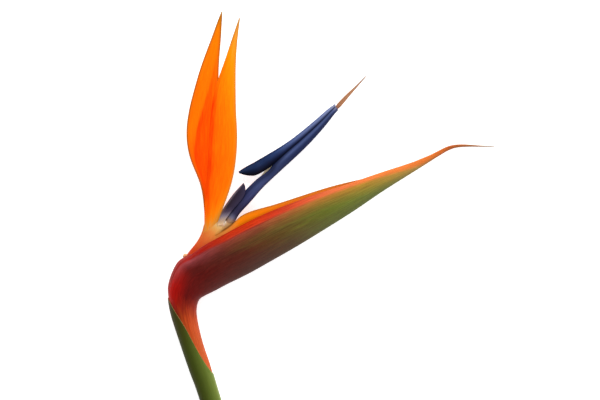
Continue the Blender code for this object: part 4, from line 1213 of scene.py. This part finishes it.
TUBE_FOOT = 0.06
STAMENS_END = 6.8
STAMEN_ROWS = 200
STAMEN_COLUMNS = 60
EDGE_POINTS = 60
EDGE_COLUMNS = 16
# Pollen is too fine to show, so its powder is drawn 0.25 mm coarse.
POWDER_PER_METRE = 4000.0


def tube_line(places, share):
    """A line inside the tube at a share of its height, counted from the upper edge."""
    rows = through(ARROW_TUBE, places)
    return rows[:, 0:2] + (rows[:, 2:4] - rows[:, 0:2]) * share[:, None]


def stamens():
    """A bundle of five lobes that thickens along the anthers and tapers to its end."""
    places = np.linspace(TUBE_FOOT, STAMENS_END, STAMEN_ROWS)
    path = tube_line(places, np.full(len(places), 0.63))
    half = 0.5 + 0.3 * step(places, 2.0, 3.5) - 0.45 * step(places, 5.0, STAMENS_END)
    share = along_rings(places / STAMENS_END, STAMEN_COLUMNS)
    grain = grain_of(share, round_angles(STAMEN_COLUMNS), 1.0, reach=6.0)
    return rod(path, half, STAMEN_COLUMNS, lobes=5, groove=0.24), {"grain": grain}


def anther_edge():
    """A thin standing strip between the petals: its height is a sine along its length."""
    share = np.linspace(0.0, 1.0, EDGE_POINTS)
    line = tube_line(3.5 + 0.9 * share, np.full(EDGE_POINTS, 0.12))
    rise = 0.2 + 1.0 * np.sin(math.pi * share) ** 0.7 * (1.0 + 0.12 * np.sin(23.0 * share))
    up = np.array((-0.66, 0.75))
    turn = round_angles(EDGE_COLUMNS)
    flat = line[:, None, :] + up * (rise[:, None] * (np.cos(turn) * 0.5 + 0.3))[..., None]
    deep = 0.11 * np.sin(turn) * np.ones((EDGE_POINTS, 1))
    points = closed_ends(np.concatenate([flat, deep[..., None]], -1))
    return points, {"grain": grain_of(along_rings(share, EDGE_COLUMNS), turn, 1.0, reach=6.0)}


def stamen_finish():
    """Filament and anther: cream, powdery with pollen, without gloss."""
    material, tree, grain = new_finish("pollen_cream", "grain")
    spot = add(tree, "TexCoord", out="Object")
    powder = add(tree, "TexNoise", {"Vector": spot, "Scale": POWDER_PER_METRE, "Detail": 3.0})
    fibres = add(tree, "TexNoise", {"Vector": grain, "Scale": 5.0, "Detail": 2.0})
    body = add(tree, "ValToRGB", {"Fac": fibres}, stops=[(0.3, "#C8B48C"), (0.7, "#EEE4C8")])
    return tissue(material, body, powder, 0.05, 0.8, **{"Sheen Weight": 0.2})


POLLEN = stamen_finish()
grown("stamens", stamens(), POLLEN, "stamens")
grown("anther_edge", anther_edge(), POLLEN, "stamens")

# The style and its stigma.
# A thread in the tube that comes out at the arrow's tip as a long pointed stigma: three sticky
# lobes pressed together, pale brown pink.

STIGMA = [(67.6, 85.1, 0.7), (69.0, 86.7, 1.15), (70.6, 88.5, 1.25), (74.2, 92.5, 1.0), (78.4, 96.9, 0.6),
          (83.6, 102.5, 0.3)]
STYLE_POINTS = 150
STIGMA_POINTS = 130
STYLE_COLUMNS = 54


def style():
    """A slim rod in the tube, then the stigma, round lobes that taper to a point."""
    places = np.linspace(TUBE_FOOT, TUBE_TIP - 0.5, STYLE_POINTS)
    settled = step(places, 6.0, 8.0)
    along = np.linspace(0.0, 1.0, STIGMA_POINTS)
    out = through(STIGMA, (len(STIGMA) - 1.0) * along)
    path = np.concatenate([tube_line(places, 0.3 + 0.2 * settled), out[:, 0:2]])
    half = np.concatenate([0.4 - 0.08 * settled, np.maximum(out[:, 2], 0.22)])
    half[-8:] *= np.sqrt(np.linspace(1.0, 0.1, 8))
    share = along_rings(np.concatenate([np.zeros(STYLE_POINTS), along]), STYLE_COLUMNS)
    run = np.concatenate([[0.0], places / TUBE_TIP * 4.0, 4.0 + along, [5.0]])[:, None]
    grain = grain_of(run, round_angles(STYLE_COLUMNS), 1.2, reach=1.5)
    return rod(path, half, STYLE_COLUMNS, lobes=3, groove=0.16), {"grain": grain, "along": share}


def style_finish():
    """Stigma tissue: sticky and faintly glossy, brown pink, paler towards its point."""
    material, tree, grain, along = new_finish("sticky_stigma", "grain", "along")
    fibres = add(tree, "TexNoise", {"Vector": grain, "Scale": 5.0, "Detail": 4.0, "Roughness": 0.7})
    body = add(tree, "ValToRGB", {"Fac": along}, stops=[
        (0.0, "#80646C"), (0.12, "#A87460"), (0.3, "#AC7854"), (0.7, "#B48260"), (1.0, "#A89080")])
    colour = threaded(tree, body, fibres, 0.6, (0.3, "#A89890"), (0.7, "#FFFFFF"))
    return tissue(material, colour, fibres, 0.08, 0.4, (0.15, 0.8))


grown("style", style(), style_finish(), "style")

# The surface, the light and the camera.
# A plain white light table under soft studio lamps: the strongest from the picture's top, one
# from its right, a weak one overhead, and an even pale sky. The camera looks straight at the
# flower's middle plane from far off, as the photograph does.

PICTURE_CENTRE = np.array((50.0, 40.0, 0.0))
PICTURE_WIDTH = 300.0
CAMERA_DISTANCE = 2000.0
SENSOR_WIDTH = 36.0
TABLE_HALF = 8.0
TABLE_BELOW = 0.0001
# Its faint clouds are about 3.3 mm across.
GRIT_PER_METRE = 300.0


def floor_finish():
    """Opal acrylic lit from below, as on a light table: matte white that softens every shadow."""
    material, tree = new_finish("white_light_table")
    spot = add(tree, "TexCoord", out="Object")
    grit = add(tree, "TexNoise", {"Vector": spot, "Scale": GRIT_PER_METRE, "Detail": 3.0})
    colour = add(tree, "ValToRGB", {"Fac": grit}, stops=[(0.0, "#F4F4F3"), (1.0, "#FAFAFA")])
    glow = {"Emission Color": "#FFFFFF", "Emission Strength": 0.6}
    return tissue(material, colour, grit, 0.01, 0.9, **glow)


mesh = bpy.data.meshes.new("table")
corners = [(x * TABLE_HALF, y * TABLE_HALF, 0.0) for x, y in ((-1, -1), (1, -1), (1, 1), (-1, 1))]
mesh.from_pydata(corners, [], [(0, 1, 2, 3)])
mesh.materials.append(floor_finish())
table = bpy.data.objects.new("table", mesh)
table.location.z = -TABLE_BELOW
bpy.context.scene.collection.objects.link(table)

world = bpy.data.worlds.new("studio")
world.use_nodes = True
sky = world.node_tree.nodes["Background"].inputs
sky["Color"].default_value = to_linear("#F7F8FA")
sky["Strength"].default_value = 0.46
bpy.context.scene.world = world


def lamp(name, at, aim, size, power, colour):
    """A square soft lamp: at and aim are places in the drawing, in millimetres, and its size is in
    metres and its power in watts.
    """
    light = bpy.data.lights.new(name, "AREA")
    light.shape, light.size, light.energy = "SQUARE", size, power
    light.color = to_linear(colour)[:3]
    holder = bpy.data.objects.new(name, light)
    place, goal = (Vector(laid(np.array(point))) for point in (at, aim))
    holder.location = place
    holder.rotation_euler = (goal - place).to_track_quat("-Z", "Y").to_euler()
    bpy.context.scene.collection.objects.link(holder)


lamp("key", (100.0, 900.0, 700.0), (40.0, 40.0, 0.0), 0.7, 9.5, "#FFFCF7")
lamp("side", (950.0, 0.0, 500.0), (40.0, 20.0, 0.0), 0.6, 5.0, "#FFFFFF")
lamp("overhead", (-100.0, 0.0, 1200.0), (40.0, 30.0, 0.0), 0.9, 2.2, "#FFFFFF")

lens = bpy.data.cameras.new("camera")
lens.sensor_width = SENSOR_WIDTH
lens.lens = SENSOR_WIDTH * CAMERA_DISTANCE / PICTURE_WIDTH
lens.clip_end = 20.0
camera = bpy.data.objects.new("camera", lens)
seat = Matrix.Translation(laid(PICTURE_CENTRE + (0.0, 0.0, CAMERA_DISTANCE)))
camera.matrix_world = seat @ Matrix(TURN.tolist()).to_4x4()
bpy.context.scene.collection.objects.link(camera)
bpy.context.scene.camera = camera
bpy.context.scene.view_settings.view_transform = "Standard"
